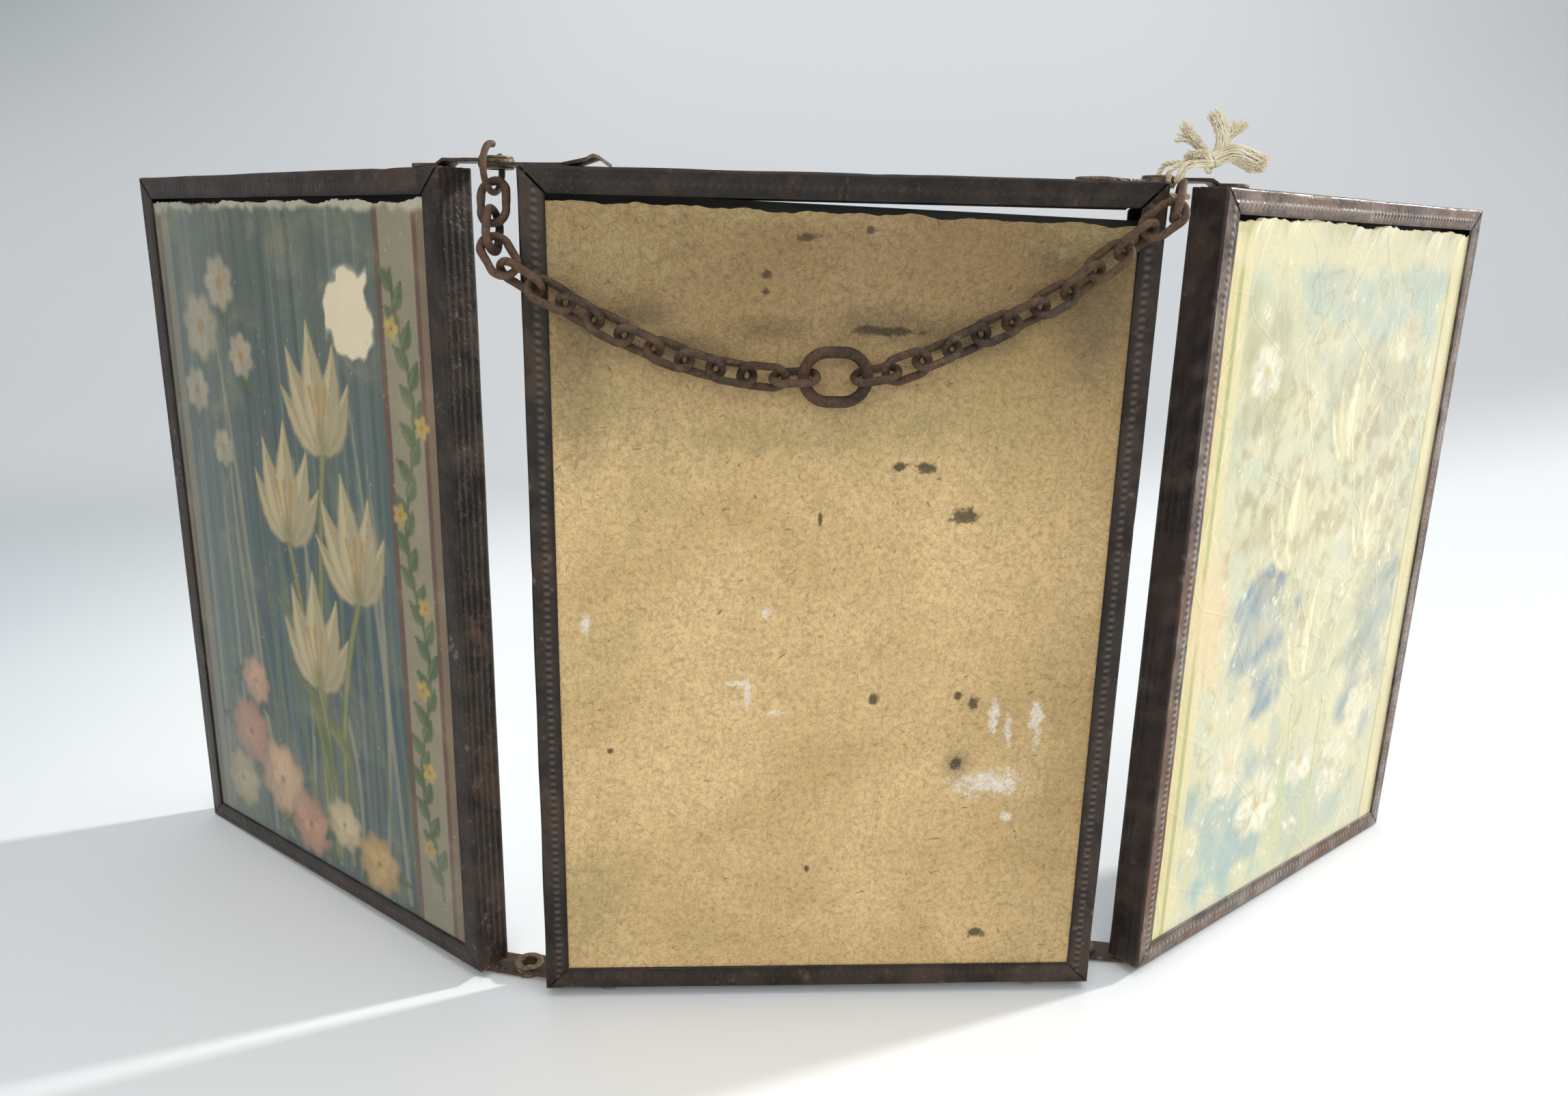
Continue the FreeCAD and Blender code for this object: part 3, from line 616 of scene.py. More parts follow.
def addDirtAndShade(panel, made):
    # Darker side walls and mitres, dirt with a painted contact shadow along the lip's inner edge, a darker
    # top rail on the centre, and dirt with painted shade between the bead's teeth
    values = panelValues[panel]
    dirt = dirtAndShadeValues
    local = fromRow(panel, readPlaces(made.data) / mm)
    x, y, z = local.T
    half = values["width"] / 2
    sideways = half - np.abs(x)
    upright = np.minimum(z - values["low"], panelHeight - values["low"] - z)
    inward = np.minimum(sideways, upright)
    onStile = sideways < upright
    patchy = dirt["walls"][panel] + dirt["patchy"] * waves(17, 12, 3, 25)(local)
    dirtAndShade = np.where(inward < dirt["wallDepth"], np.clip(patchy, 0, dirt["wallMost"]), 0.0)
    # Dirt with a painted contact shadow along the lip's inner edge
    dirtAndShade = np.maximum(dirtAndShade, np.clip((inward - dirt["lipFrom"]) / dirt["lipRun"], 0, 1) * dirt["lip"])
    if panel == "center":
        onRail = (z > panelHeight - dirt["centerTopDepth"]) & (upright < sideways)
        dirtAndShade = np.maximum(dirtAndShade, dirt["centerTop"] * onRail)
    seam = np.clip(1 - np.abs(sideways - upright) / dirt["seamHalf"], 0, 1)
    seam = seam * (np.maximum(sideways, upright) < dirt["seamReach"]) * (inward > 0.3)
    dirtAndShade = np.maximum(dirtAndShade, seam * dirt["seam"])
    along = np.where(onStile, z - values["low"], x + half)
    teeth = 0.5 + 0.5 * np.cos(2 * math.pi * along / frameValues["pitch"])
    row = np.clip(1.15 - np.abs(inward - frameValues["beadLine"]) / dirt["teethHalf"], 0, 1) * (y < -3.5)
    sides = np.where(onStile, np.where(x < 0, 0, 1), np.where(z > panelHeight / 2, 3, 2))
    beads = np.array([stripLooks[(panel, side)][0] for side in ("left", "right", "bottom", "top")])
    strength = np.clip(beads[sides] / dirt["fullBead"], 0, 1)
    # Dirt and painted shade in the hollows between the bead's teeth
    dirtAndShade = np.maximum(dirtAndShade, row * (1 - teeth) * strength * dirt["teeth"])
    # The first attribute is dirt with painted shade, the second wear with a painted highlight on the raised
    # teeth
    for key, shares in (("dirtAndShade", dirtAndShade), ("wearAndHighlight", row * teeth * strength)):
        ready = made.data.attributes.new(key, "FLOAT", "POINT")
        ready.data.foreach_set("value", shares)


# How far a strip's halves stand back from their mitres, how far its middle row is moved,
# and whether the wall goes with them
endInsets = {
    "left": (0.12, 0.0, False), "right": (0.12, 0.0, False),
    "bottom": (0.15, -0.15, False), "top": (0.55, -0.55, True),
}


def makeFrame(panel, body, material, slot, seed):
    values = panelValues[panel]
    height = panelHeight - 2 * values["low"]
    for name, sides in (("frame", ("left", "right", "bottom")), ("top_rail", ("top",))):
        strips = []
        for number, side in enumerate(sides):
            length = height if side in ("left", "right") else values["width"]
            strip, faces = channelStrip(length, seed + 20 * number, *stripLooks[(panel, side)])
            inset, middle, everywhere = endInsets[side]
            halves = [strip[:, 0] < length / 2, strip[:, 0] > length / 2 + inset]
            moved = np.select(halves, [inset, -inset], middle)
            strip[:, 0] += moved * (everywhere | (strip[:, 1] > frameValues["corner"]))
            strips.append((toRow(panel, stripPlaces(panel, side, strip)), faces))
        replaced = (f"{panel}_{name}",)
        made = finishMesh(f"{panel}_{name}_tin", *joined(strips), material, body, slot, replaced, 50.0)
        addDirtAndShade(panel, made)
    print("stage:", panel, "frame made")


makeFrame("center", "center", darkTin, "tin", 11)
makeFrame("left", "left_wing", darkTin, "tin", 211)
makeFrame("right", "right_wing", rustyTin, "rusty_tin", 411)


# Loose sheets: glass, boards and prints, as closed slabs with a grid on the side that is seen
def slab(reach, foot, topLine, seen, hidden, columns, rows, shift=None):
    across = np.linspace(-reach, reach, columns + 1)
    tops = np.array([topLine(x) for x in across])
    grid = []
    for r in range(rows + 1):
        z = foot + (tops - foot) * r / rows
        flat = np.column_stack([across, np.full(columns + 1, seen), z])
        if shift is not None:
            flat[:, 1] += shift(flat, tops - z)
        grid.append(flat)
    grid = np.vstack(grid)
    wide = columns + 1
    faces = quads(rows + 1, wide)
    rim = list(range(wide))
    rim += [r * wide + columns for r in range(1, rows + 1)]
    rim += [rows * wide + c for c in range(columns - 1, -1, -1)]
    rim += [r * wide for r in range(rows - 1, 0, -1)]
    behind = grid[rim].copy()
    behind[:, 1] = hidden
    size = len(grid)
    count = len(rim)
    for k in range(count):
        after = (k + 1) % count
        faces.append((rim[k], size + k, size + after, rim[after]))
    faces.append(tuple(size + k for k in range(count)))
    return np.vstack([grid, behind]), faces


def raggedTop(seed, reach, drops, coarse=0.0, fine=0.0):
    # A sheet's top edge, from its drop at the left to its drop at the right, torn by two sizes of wobble
    slow = waves(seed, 8, 8, 40)
    quick = waves(seed + 1, 12, 0.9, 5)
    leftTop, rightTop = panelHeight - drops[0], panelHeight - drops[1]

    def line(x):
        share = (x + reach) / (2 * reach)
        here = np.array([[x, 0.0, 0.0]])
        return leftTop + (rightTop - leftTop) * share + coarse * slow(here)[0] + fine * quick(here)[0]

    return line


# Half widths, feet, the drops of the top edges at the left and right, and how the board is torn and bowed
sheetValues = {
    "center": {
        "reach": 61.6, "foot": 0.5, "glassDrops": (4.2, 7.4), "boardDrops": (6.0, 8.8), "boardBack": -3.65,
        "torn": (0.28, 0.14), "bow": 0.05, "grid": (240, 60),
    },
    "left": {
        "reach": 59.4, "foot": 0.8, "glassDrops": (1.8, 1.8), "boardDrops": (6.6, 7.2), "boardBack": -3.4,
        "torn": (0.25, 0.12), "bow": 0.0, "grid": (160, 8),
    },
}
sheetValues["right"] = sheetValues["left"]
sheetDepths = {"glassBack": 0.7, "glassFront": 3.7, "boardFront": 0.68}


def makeGlass(panel, body, seed):
    values = sheetValues[panel]
    line = raggedTop(seed, values["reach"], values["glassDrops"])
    depths = (sheetDepths["glassBack"], sheetDepths["glassFront"])
    points, faces = slab(values["reach"], values["foot"], line, *depths, 24, 2)
    places = toRow(panel, points)
    replaced = (f"{panel}_mirror_glass",)
    made = finishMesh(f"{panel}_mirror", places, faces, silveredGlass, body, "mirror", replaced)
    c, s = bearing(panelValues[panel]["turn"])
    front = Vector((-s, c, 0.0))
    ready = made.data.attributes.new("painted", "FLOAT", "FACE")
    ready.data.foreach_set("value", [float(face.normal.dot(front) < 0.5) for face in made.data.polygons])


def makeBoard(panel, body, seed):
    values = sheetValues[panel]
    line = raggedTop(seed, values["reach"], values["boardDrops"], *values["torn"])
    bend = waves(seed + 1, 6, 40, 120)

    def bow(flat, below):
        return values["bow"] * bend(flat)

    depths = (values["boardBack"], sheetDepths["boardFront"])
    points, faces = slab(values["reach"], values["foot"], line, *depths, *values["grid"], bow)
    replaced = (f"{panel}_back_board",)
    finishMesh(f"{panel}_board", toRow(panel, points), faces, strawBoard, body, "board", replaced)


for panel, body, seed in (("center", "center", 31), ("left", "left_wing", 41), ("right", "right_wing", 51)):
    makeGlass(panel, body, seed)
    makeBoard(panel, body, seed + 1)
print("stage: sheets made")


# Prints: generic flower designs painted point by point on the sheets
class Painter:
    def __init__(self, places, ground):
        self.x = places[:, 0]
        self.z = places[:, 2]
        self.flat = np.column_stack([self.x, np.zeros(len(self.x)), self.z])
        self.color = np.tile(np.array(ground, float), (len(places), 1))

    def blend(self, mask, color):
        mask = np.clip(mask, 0, 1)[:, None]
        self.color = self.color * (1 - mask) + np.array(color, float) * mask

    def ellipse(self, x, z, wide, tall, turn, color, soft=0.25, strength=1.0):
        c, s = bearing(turn)
        a = ((self.x - x) * c + (self.z - z) * s) / wide
        b = (-(self.x - x) * s + (self.z - z) * c) / tall
        far = np.sqrt(a * a + b * b)
        self.blend(strength * np.clip((1 + soft - far) / (2 * soft), 0, 1), color)

    def stroke(self, line, widths, color, soft=0.35, strength=1.0):
        best = np.full(len(self.x), 1e9)
        line = np.asarray(line, float)
        for k in range(len(line) - 1):
            a, b = line[k], line[k + 1]
            step = b - a
            long = max(step @ step, 1e-9)
            share = np.clip(((self.x - a[0]) * step[0] + (self.z - a[1]) * step[1]) / long, 0, 1)
            wide = widths[k] + (widths[k + 1] - widths[k]) * share
            far = np.hypot(self.x - a[0] - step[0] * share, self.z - a[1] - step[1] * share)
            best = np.minimum(best, far / np.maximum(wide, 0.05))
        self.blend(strength * np.clip((1 + soft - best) / (2 * soft), 0, 1), color)

    def blossom(self, x, z, size, petals, color, heart, turn=0.0):
        pick = np.random.default_rng(int(1000 + 13 * x + 7 * z))
        for k in range(petals):
            angle = turn + 360.0 * k / petals
            c, s = bearing(angle)
            px = x + 0.55 * size * c
            pz = z + 0.55 * size * s
            tint = np.clip(np.array(color) * pick.uniform(0.8, 1.12), 0, 1)
            self.ellipse(px, pz, 0.55 * size, 0.38 * size, angle, tint, 0.3)
            self.ellipse(px, pz, 0.4 * size, 0.06 * size, angle, tint * 0.75, 0.6, 0.6)
        self.ellipse(x, z, 0.24 * size, 0.24 * size, 0, heart, 0.4)

    def leaf(self, x, z, long, wide, turn, color, sway=0.0):
        # An outlined leaf or petal with a lit side, a shaded side and a vein
        shape = np.array([0.08, 0.68, 1.0, 0.92, 0.66, 0.32, 0.04]) * wide
        c, s = bearing(turn)
        spine = []
        for k in range(7):
            share = k / 6
            bend = sway * share * share
            spine.append((x + long * share * c - bend * s, z + long * share * s + bend * c))
        color = np.array(color)
        self.stroke(spine, shape + 0.28, color * 0.42, 0.2, 0.85)
        self.stroke(spine, shape, color, 0.22)
        for offset, tint, strength in ((0.42, 1.22, 0.6), (-0.45, 0.68, 0.6)):
            away = offset * shape
            shifted = [(a - far * s, b + far * c) for far, (a, b) in zip(away, spine)]
            self.stroke(shifted, shape * 0.36 + 0.05, np.clip(color * tint, 0, 1), 0.9, strength)
        self.stroke(spine[:6], [0.16] * 6, color * 0.5, 0.6, 0.7)


def arc(x0, z0, x1, z1, bulge, count=9):
    # Points on a bent line from one place to another
    points = []
    for k in range(count):
        share = k / (count - 1)
        bend = bulge * 4 * share * (1 - share)
        nx, nz = -(z1 - z0), (x1 - x0)
        long = max(math.hypot(nx, nz), 1e-6)
        points.append((x0 + (x1 - x0) * share + nx / long * bend, z0 + (z1 - z0) * share + nz / long * bend))
    return points


def paintBands(art, bands, strength=1.0):
    for low, high, color in bands:
        art.blend(((art.x > low) & (art.x < high)).astype(float) * strength, color)


leftValues = {
    "agedAndShaded": (0.88, 0.79, 0.68),
    "lilies": ((12, 116, 10), (-6, 92, -8), (22, 82, 14), (2, 56, -4)),
    "petals": ((32, 20, 3.6, 6), (148, 20, 3.6, -6), (60, 26, 4.2, 4), (120, 26, 4.2, -4), (90, 30, 4.8, 0)),
    "whiteBlossoms": ((-38, 142, 7.5), (-27, 153, 6.0), (-43, 126, 5.2), (-20, 136, 5.0), (-33, 112, 4.4)),
    "lowBlossoms": (
        (-34, 34, 8.5, (0.50, 0.27, 0.20)), (-20, 24, 9.5, (0.55, 0.39, 0.27)),
        (-41, 18, 7.5, (0.52, 0.46, 0.28)), (-8, 15, 8.0, (0.52, 0.30, 0.22)),
        (8, 20, 6.5, (0.54, 0.47, 0.32)), (22, 14, 7.5, (0.50, 0.36, 0.15)),
        (-29, 50, 6.0, (0.52, 0.35, 0.26)),
    ),
    "bands": (
        (37.5, 39.4, (0.13, 0.075, 0.06)), (39.4, 50.5, (0.27, 0.26, 0.20)),
        (50.5, 52.2, (0.13, 0.075, 0.06)), (52.2, 62, (0.20, 0.155, 0.11)), (-62, -53.5, (0.17, 0.15, 0.11)),
        (-53.5, -52.2, (0.10, 0.07, 0.06)), (-52.2, -48.5, (0.22, 0.22, 0.17)),
    ),
}


def paintLeft(places):
    art = Painter(places, (0.062, 0.112, 0.14))
    high = np.clip(art.z / 170, 0, 1)
    art.blend(np.clip((high - 0.45) * 1.6, 0, 0.85), (0.115, 0.15, 0.125))
    art.blend(np.clip((0.25 - high) * 2.2, 0, 0.6), (0.035, 0.07, 0.09))
    mist = waves(72, 14, 18, 60)(art.flat)
    art.blend(np.clip(mist * 0.25 - 0.05, 0, 0.4), (0.17, 0.21, 0.18))
    upright = np.column_stack([art.x, art.x * 0, art.z * 0.012])
    streak = waves(71, 40, 0.9, 7)(upright)
    art.blend(np.clip(streak * 0.4 - 0.12, 0, 0.55), (0.21, 0.28, 0.285))
    art.blend(np.clip(-streak * 0.35 - 0.15, 0, 0.5), (0.022, 0.045, 0.058))
    pick = random.Random(73)
    for k in range(26):
        x = -47 + 3.4 * k + pick.uniform(-1.5, 1.5)
        top = pick.uniform(60, 158)
        blade = arc(x, 8, x + pick.uniform(-14, 14), top, pick.uniform(-6, 6))
        tint = (0.30, 0.32, 0.24) if k % 3 == 0 else (0.13, 0.18, 0.12)
        art.stroke(blade, [0.8] * 6 + [0.6, 0.35, 0.1], tint, 0.4, 0.7)
    cream = (0.47, 0.43, 0.285)
    for x, z, lean in leftValues["lilies"]:
        stem = arc(x - lean * 0.8, 10, x, z, lean * 0.35)
        art.stroke(stem, [1.25] * 9, (0.075, 0.095, 0.045), 0.25)
        art.stroke(stem, [0.85] * 9, (0.21, 0.25, 0.12), 0.4)
        art.leaf(x - lean * 0.5, z * 0.45, 34, 2.2, 100 + lean * 2, (0.15, 0.20, 0.10), 7)
        for turn, long, wide, sway in leftValues["petals"]:
            tint = darker(cream, 0.86 + 0.14 * bearing(turn)[1])
            art.leaf(x, z, long, wide, turn + lean * 0.5, tint, sway)
        for turn in (78, 90, 102):
            c, s = bearing(turn)
            spine = [(x + far * c, z + far * s) for far in (2, 8, 15)]
            art.stroke(spine, [0.3, 0.3, 0.7], (0.42, 0.27, 0.07), 0.4, 0.8)
        art.ellipse(x, z + 2.5, 2.3, 3.6, 0, (0.20, 0.22, 0.10), 0.6, 0.7)
    for x, z, size in leftValues["whiteBlossoms"]:
        art.leaf(x, z, size * 1.9, 2.0, -65 + x, (0.10, 0.15, 0.07), 2)
        art.blossom(x, z, size, 7, (0.43, 0.41, 0.33), (0.36, 0.24, 0.09), x)
    for x, z, size, color in leftValues["lowBlossoms"]:
        art.leaf(x, z, size * 1.8, 2.6, 200 + x, (0.06, 0.10, 0.045), 2)
        art.leaf(x, z, size * 1.7, 2.4, -20 + x, (0.08, 0.13, 0.05), -2)
        art.ellipse(x, z, size * 1.05, size * 0.98, 0, darker(color, 0.3), 0.15, 0.8)
        for ring, petals in ((1.0, 8), (0.72, 7), (0.45, 5)):
            tint = tuple(min(1, v * (1.45 - 0.5 * ring)) for v in color)
            art.blossom(x, z, size * ring, petals, tint, darker(color, 0.55), x * 3 + 40 * ring)
    paintBands(art, leftValues["bands"])
    vine = [(45 + 2.6 * math.sin(z * 0.11), z) for z in np.arange(14, 162, 4)]
    art.stroke(vine, [0.5] * len(vine), (0.09, 0.13, 0.065), 0.4)
    for k, (x, z) in enumerate(vine[1:-1]):
        art.leaf(x, z, 6.0, 1.5, 55 if k % 2 else 125, (0.10, 0.16, 0.08), 1)
        if k % 5 == 2:
            art.blossom(x + (2.5 if k % 2 else -2.5), z, 2.4, 5, (0.46, 0.36, 0.12), (0.34, 0.17, 0.07))
    # Yellowed with age, and darkened overall as painted shade
    art.color *= np.array(leftValues["agedAndShaded"])
    loss = waves(76, 16, 2.5, 14)(art.flat)
    patch = np.hypot((art.x - 26.5) / 8.0, (art.z - 148.5) / 9.5) + 0.16 * loss
    art.blend(np.clip((1.12 - patch) / 0.05, 0, 1) * 0.7, (0.30, 0.30, 0.23))
    art.blend(np.clip((1.04 - patch) / 0.05, 0, 1), (0.68, 0.58, 0.40))
    edge = np.clip((art.z - 169.6 + 0.7 * loss) / 1.2, 0, 1)
    art.blend(edge * 0.85, (0.46, 0.42, 0.30))
    scuff = waves(77, 30, 0.8, 4)(art.flat)
    art.blend(np.clip(scuff - 1.9, 0, 0.5), (0.50, 0.48, 0.40))
    # Painted reflection and shade: the print greyer towards the left and the bottom
    grey = np.clip((-20 - art.x) / 50, 0, 0.35) + np.clip((40 - art.z) / 90, 0, 0.2)
    art.blend(grey, (0.20, 0.22, 0.20))
    return art.color


rightValues = {
    "brightness": 1.36,
    "pools": (
        (-21, 76, 16, 22, 1.0, (0.12, 0.195, 0.245)), (34, 68, 15, 32, 1.0, (0.20, 0.25, 0.235)),
        (-24, 30, 26, 22, 0.9, (0.23, 0.32, 0.31)), (10, 20, 22, 14, 0.6, (0.28, 0.34, 0.28)),
        (15, 162, 46, 18, 0.75, (0.31, 0.375, 0.33)), (18, 131, 24, 13, 0.8, (0.24, 0.25, 0.19)),
        (-36, 140, 12, 18, 0.6, (0.30, 0.30, 0.17)), (-12, 104, 22, 10, 0.5, (0.35, 0.27, 0.13)),
        (30, 108, 18, 12, 0.6, (0.30, 0.31, 0.22)),
    ),
    "tides": ((8, 118, 34, 46), (-22, 60, 22, 30), (30, 60, 17, 34)),
    "lilies": ((8, 116, 8), (-14, 92, -8), (26, 88, 12), (2, 60, 4)),
    "petals": ((35, 18, 3.2, 5), (145, 18, 3.2, -5), (62, 24, 4.0, 3), (118, 24, 4.0, -3), (90, 28, 4.6, 0)),
    "blossoms": (
        (-30, 44, 8), (-14, 30, 9), (6, 36, 7), (24, 30, 8), (34, 46, 6), (-36, 140, 6), (30, 146, 6),
    ),
    "bands": (
        (-62, -51.5, (0.50, 0.42, 0.20)), (-51.5, -50.3, (0.30, 0.30, 0.11)),
        (-50.3, -47, (0.52, 0.46, 0.25)), (47, 48, (0.34, 0.30, 0.13)), (48, 62, (0.50, 0.44, 0.24)),
    ),
}


def paintRight(places):
    art = Painter(places, (0.46, 0.44, 0.28))
    broad = waves(81, 14, 25, 80)(art.flat)
    mid = waves(82, 20, 9, 30)(art.flat)
    small = waves(86, 30, 2, 9)(art.flat)
    art.blend(np.clip(0.35 + 0.35 * broad, 0, 0.8), (0.36, 0.41, 0.32))
    art.blend(np.clip(0.35 * mid + 0.2 * broad - 0.05, 0, 0.7), (0.52, 0.45, 0.25))
    for x, z, wide, tall, strength, tint in rightValues["pools"]:
        pool = np.hypot((art.x - x) / wide, (art.z - z) / tall) + 0.2 * mid + 0.05 * small
        art.blend(np.clip((1.05 - pool) * 3.0, 0, 1) * strength, tint)
    ghost = (0.55, 0.52, 0.33)
    for x, z, lean in rightValues["lilies"]:
        art.stroke(arc(x - lean, 12, x, z, lean * 0.4), [1.8] * 9, (0.40, 0.42, 0.22), 0.7, 0.6)
        for turn, long, wide, sway in rightValues["petals"]:
            art.leaf(x, z, long, wide, turn, darker(ghost, 0.9 + 0.1 * math.sin(turn)), sway)
    for x, z, size in rightValues["blossoms"]:
        art.blossom(x, z, size, 7, (0.53, 0.51, 0.38), (0.44, 0.37, 0.2), x)
    fade = np.clip(0.14 + 0.2 * mid + 0.15 * broad + 0.06 * small, 0, 0.55)
    art.blend(fade, (0.50, 0.47, 0.31))
    paintBands(art, rightValues["bands"], 0.85)
    stain = waves(83, 26, 3, 16)(art.flat)
    for x, z, wide, tall in rightValues["tides"]:
        ring = np.hypot((art.x - x) / wide, (art.z - z) / tall) + 0.12 * stain + 0.1 * mid
        art.blend(np.clip(1 - np.abs(ring - 1) / 0.04, 0, 1) * 0.45, (0.27, 0.20, 0.085))
        art.blend((ring < 1) * np.clip(0.22 + 0.15 * stain, 0, 0.4), (0.57, 0.51, 0.32))
    blot = np.hypot((art.x + 46) / 7, (art.z - 84) / 20) + 0.2 * stain
    art.blend(np.clip((1.1 - blot) * 2, 0, 0.75), (0.55, 0.43, 0.25))
    dirt = waves(84, 30, 3, 14)(art.flat)
    inside = np.clip((46 - np.abs(art.x)) / 3, 0.25, 1)
    belt = 0.15 + 0.85 * np.exp(-(((art.z - 114) / 26) ** 2))
    art.blend(np.clip(0.4 * dirt + 0.3 * mid + 0.12 * small, 0, 0.6) * inside * belt, (0.25, 0.20, 0.10))
    drips = waves(87, 30, 1.5, 8)(np.column_stack([art.x, art.x * 0, art.z * 0.05]))
    art.blend(np.clip(0.25 * drips - 0.2, 0, 0.3), (0.33, 0.30, 0.17))
    art.blend(np.clip((art.z - 160 + 1.5 * stain) / 6.0, 0, 0.6), (0.56, 0.50, 0.30))
    scuff = waves(85, 30, 0.9, 5)(art.flat)
    art.blend(np.clip(scuff + 0.6 * mid + 0.5 * small - 1.6, 0, 0.8) * inside, (0.60, 0.59, 0.54))
    return np.clip(art.color * rightValues["brightness"], 0, 0.84)


# The sheets' size and place, how their tops are torn and curl, and how they buckle
paperValues = {
    "reach": 59.3, "foot": 0.8, "back": -3.68, "front": -3.5, "torn": (0.6, 0.2), "grid": (240, 340),
    "curl": 1.1, "curlRun": 5.5, "buckle": 0.06, "free": 53.6, "freeRun": 4.0, "held": 7.0, "heldRun": 8.0,
}


def makePrint(panel, body, material, painter, seed, topDrop):
    values = paperValues
    line = raggedTop(seed, values["reach"], (topDrop, topDrop), *values["torn"])
    curl = waves(seed + 3, 10, 6, 30)
    buckle = waves(seed + 4, 8, 30, 110)

    def lift(flat, below):
        near = np.clip(1 - below / values["curlRun"], 0, 1) ** 2
        inner = np.clip((values["free"] - np.abs(flat[:, 0])) / values["freeRun"], 0, 1)
        rise = np.clip(0.55 + 0.5 * curl(flat * (1, 0, 0)), 0, 1.3)
        low = np.clip((flat[:, 2] - values["held"]) / values["heldRun"], 0, 1)
        return -near * rise * inner * values["curl"] - values["buckle"] * (1 + buckle(flat)) * inner * low

    depths = (values["back"], values["front"])
    points, faces = slab(values["reach"], values["foot"], line, *depths, *values["grid"], lift)
    places = toRow(panel, points)
    replaced = (f"{panel}_print",)
    made = finishMesh(f"{panel}_picture", places, faces, material, body, "print_paper", replaced, 60.0)
    paint = made.data.color_attributes.new("paint", "FLOAT_COLOR", "POINT")
    back = fromRow(panel, readPlaces(made.data) / mm)
    colors = np.column_stack([painter(back), np.ones(len(back))])
    paint.data.foreach_set("color", colors.ravel())
    print("stage:", panel, "print painted")


makePrint("left", "left_wing", leftPaper, paintLeft, 61, 6.6)
makePrint("right", "right_wing", rightPaper, paintRight, 66, 6.2)


# Hinges: the tabs and eyelets keep their CAD shape, softened and a little bent
buckleValues = {"node": "hinge_tab_center_top_left", "middle": -48.0, "reach": 3.3, "rise": 1.6}
tabLook = {"material": tabTin, "slot": "tab_tin", "bevel": 0.12, "dent": 0.03}
eyeletLook = {"material": brassDull, "slot": "eyelet_brass", "bevel": 0.1, "dent": 0.0}


def softCopy(node, body, look, seed):
    mesh = nodes[node].data.copy()
    edit = bmesh.new()
    edit.from_mesh(mesh)
    bmesh.ops.remove_doubles(edit, verts=edit.verts, dist=1e-6)
    bmesh.ops.dissolve_limit(edit, angle_limit=math.radians(2), verts=edit.verts, edges=edit.edges)
    sharp = [e for e in edit.edges if e.calc_face_angle(0.0) > math.radians(40)]
    bmesh.ops.bevel(edit, geom=sharp, offset=look["bevel"] * mm, segments=2, profile=0.6, affect="EDGES")
    bmesh.ops.triangulate(edit, faces=edit.faces)
    for _ in range(2):
        long = [e for e in edit.edges if e.calc_length() > 1.4 * mm]
        bmesh.ops.subdivide_edges(edit, edges=long, cuts=1)
        bmesh.ops.triangulate(edit, faces=edit.faces)
    wobble = waves(seed, 10, 3, 14)
    places = np.array([v.co[:] for v in edit.verts]) / mm
    rises = look["dent"] * wobble(places)
    if node == buckleValues["node"]:
        share = np.clip((places[:, 0] - buckleValues["middle"]) / buckleValues["reach"], -1, 1)
        rises += buckleValues["rise"] * np.cos(share * math.pi / 2) ** 2
    for vertex, rise in zip(edit.verts, rises):
        vertex.co.z += rise * mm
    edit.to_mesh(mesh)
    edit.free()
    finishObject(f"{node}_metal", mesh, look["material"], body, (node,), 35.0)


for end in ("top", "bottom"):
    for side, wingBody in (("left", "left_wing"), ("right", "right_wing")):
        softCopy(f"hinge_tab_center_{end}_{side}", "center", tabLook, 91)
        softCopy(f"hinge_tab_wing_{end}_{side}", wingBody, tabLook, 92)
        softCopy(f"eyelet_{end}_{side}", "center", eyeletLook, 93)
print("stage: hinges made")


# Chain: one bent-wire link, set on points that are read from the frame's own links
def sideFrames(line, closed=False):
    # Two crosswise directions at each point of a line, turning as little as they can
    frames = []
    side = None
    last = len(line) - 1
    for k in range(len(line)):
        after = line[(k + 1) % len(line)] if closed else line[min(k + 1, last)]
        before = line[k - 1] if closed else line[max(k - 1, 0)]
        way = (after - before).normalized()
        side = way.orthogonal() if side is None else side - way * side.dot(way)
        side = side.normalized()
        frames.append((side, way.cross(side)))
    return frames


def tubeMesh(line, radii, sides, closed=False):
    line = [Vector(p) for p in line]
    points = []
    for place, radius, (side, other) in zip(line, radii, sideFrames(line, closed)):
        for j in range(sides):
            angle = 2 * math.pi * j / sides
            points.append(place + (side * math.cos(angle) + other * math.sin(angle)) * radius)
    return points, quads(len(line), sides, True, closed)


def ovalLine(length, width, count):
    bend = width / 2
    reach = (length - width) / 2
    run = 2 * reach
    around = math.pi * bend
    total = 2 * (run + around)
    points = []
    for k in range(count):
        s = total * k / count
        if s < run:
            points.append((s - reach, -bend, 0))
        elif s < run + around:
            a = (s - run) / bend
            points.append((reach + bend * math.sin(a), -bend * math.cos(a), 0))
        elif s < 2 * run + around:
            points.append((reach - (s - run - around), bend, 0))
        else:
            a = (s - 2 * run - around) / bend
            points.append((-reach - bend * math.sin(a), bend * math.cos(a), 0))
    return points


linkValues = {"length": 10.4, "width": 6.8, "wire": 1.62, "sides": 14, "rings": 56, "uneven": 0.05}
ringValues = {"length": 14.9, "width": 12.0, "wire": 2.34, "sides": 18, "rings": 96}
jumpValues = {"bore": 7.6, "wire": 1.3, "sides": 12, "rings": 64, "open": 78.0, "gap": 40.0, "tip": 0.35}


def wireOval(name, values):
    line = ovalLine(values["length"] - values["wire"], values["width"] - values["wire"], values["rings"])
    radii = [values["wire"] / 2] * len(line)
    points, faces = tubeMesh(line, radii, values["sides"], True)
    return meshOf(name, points, faces)


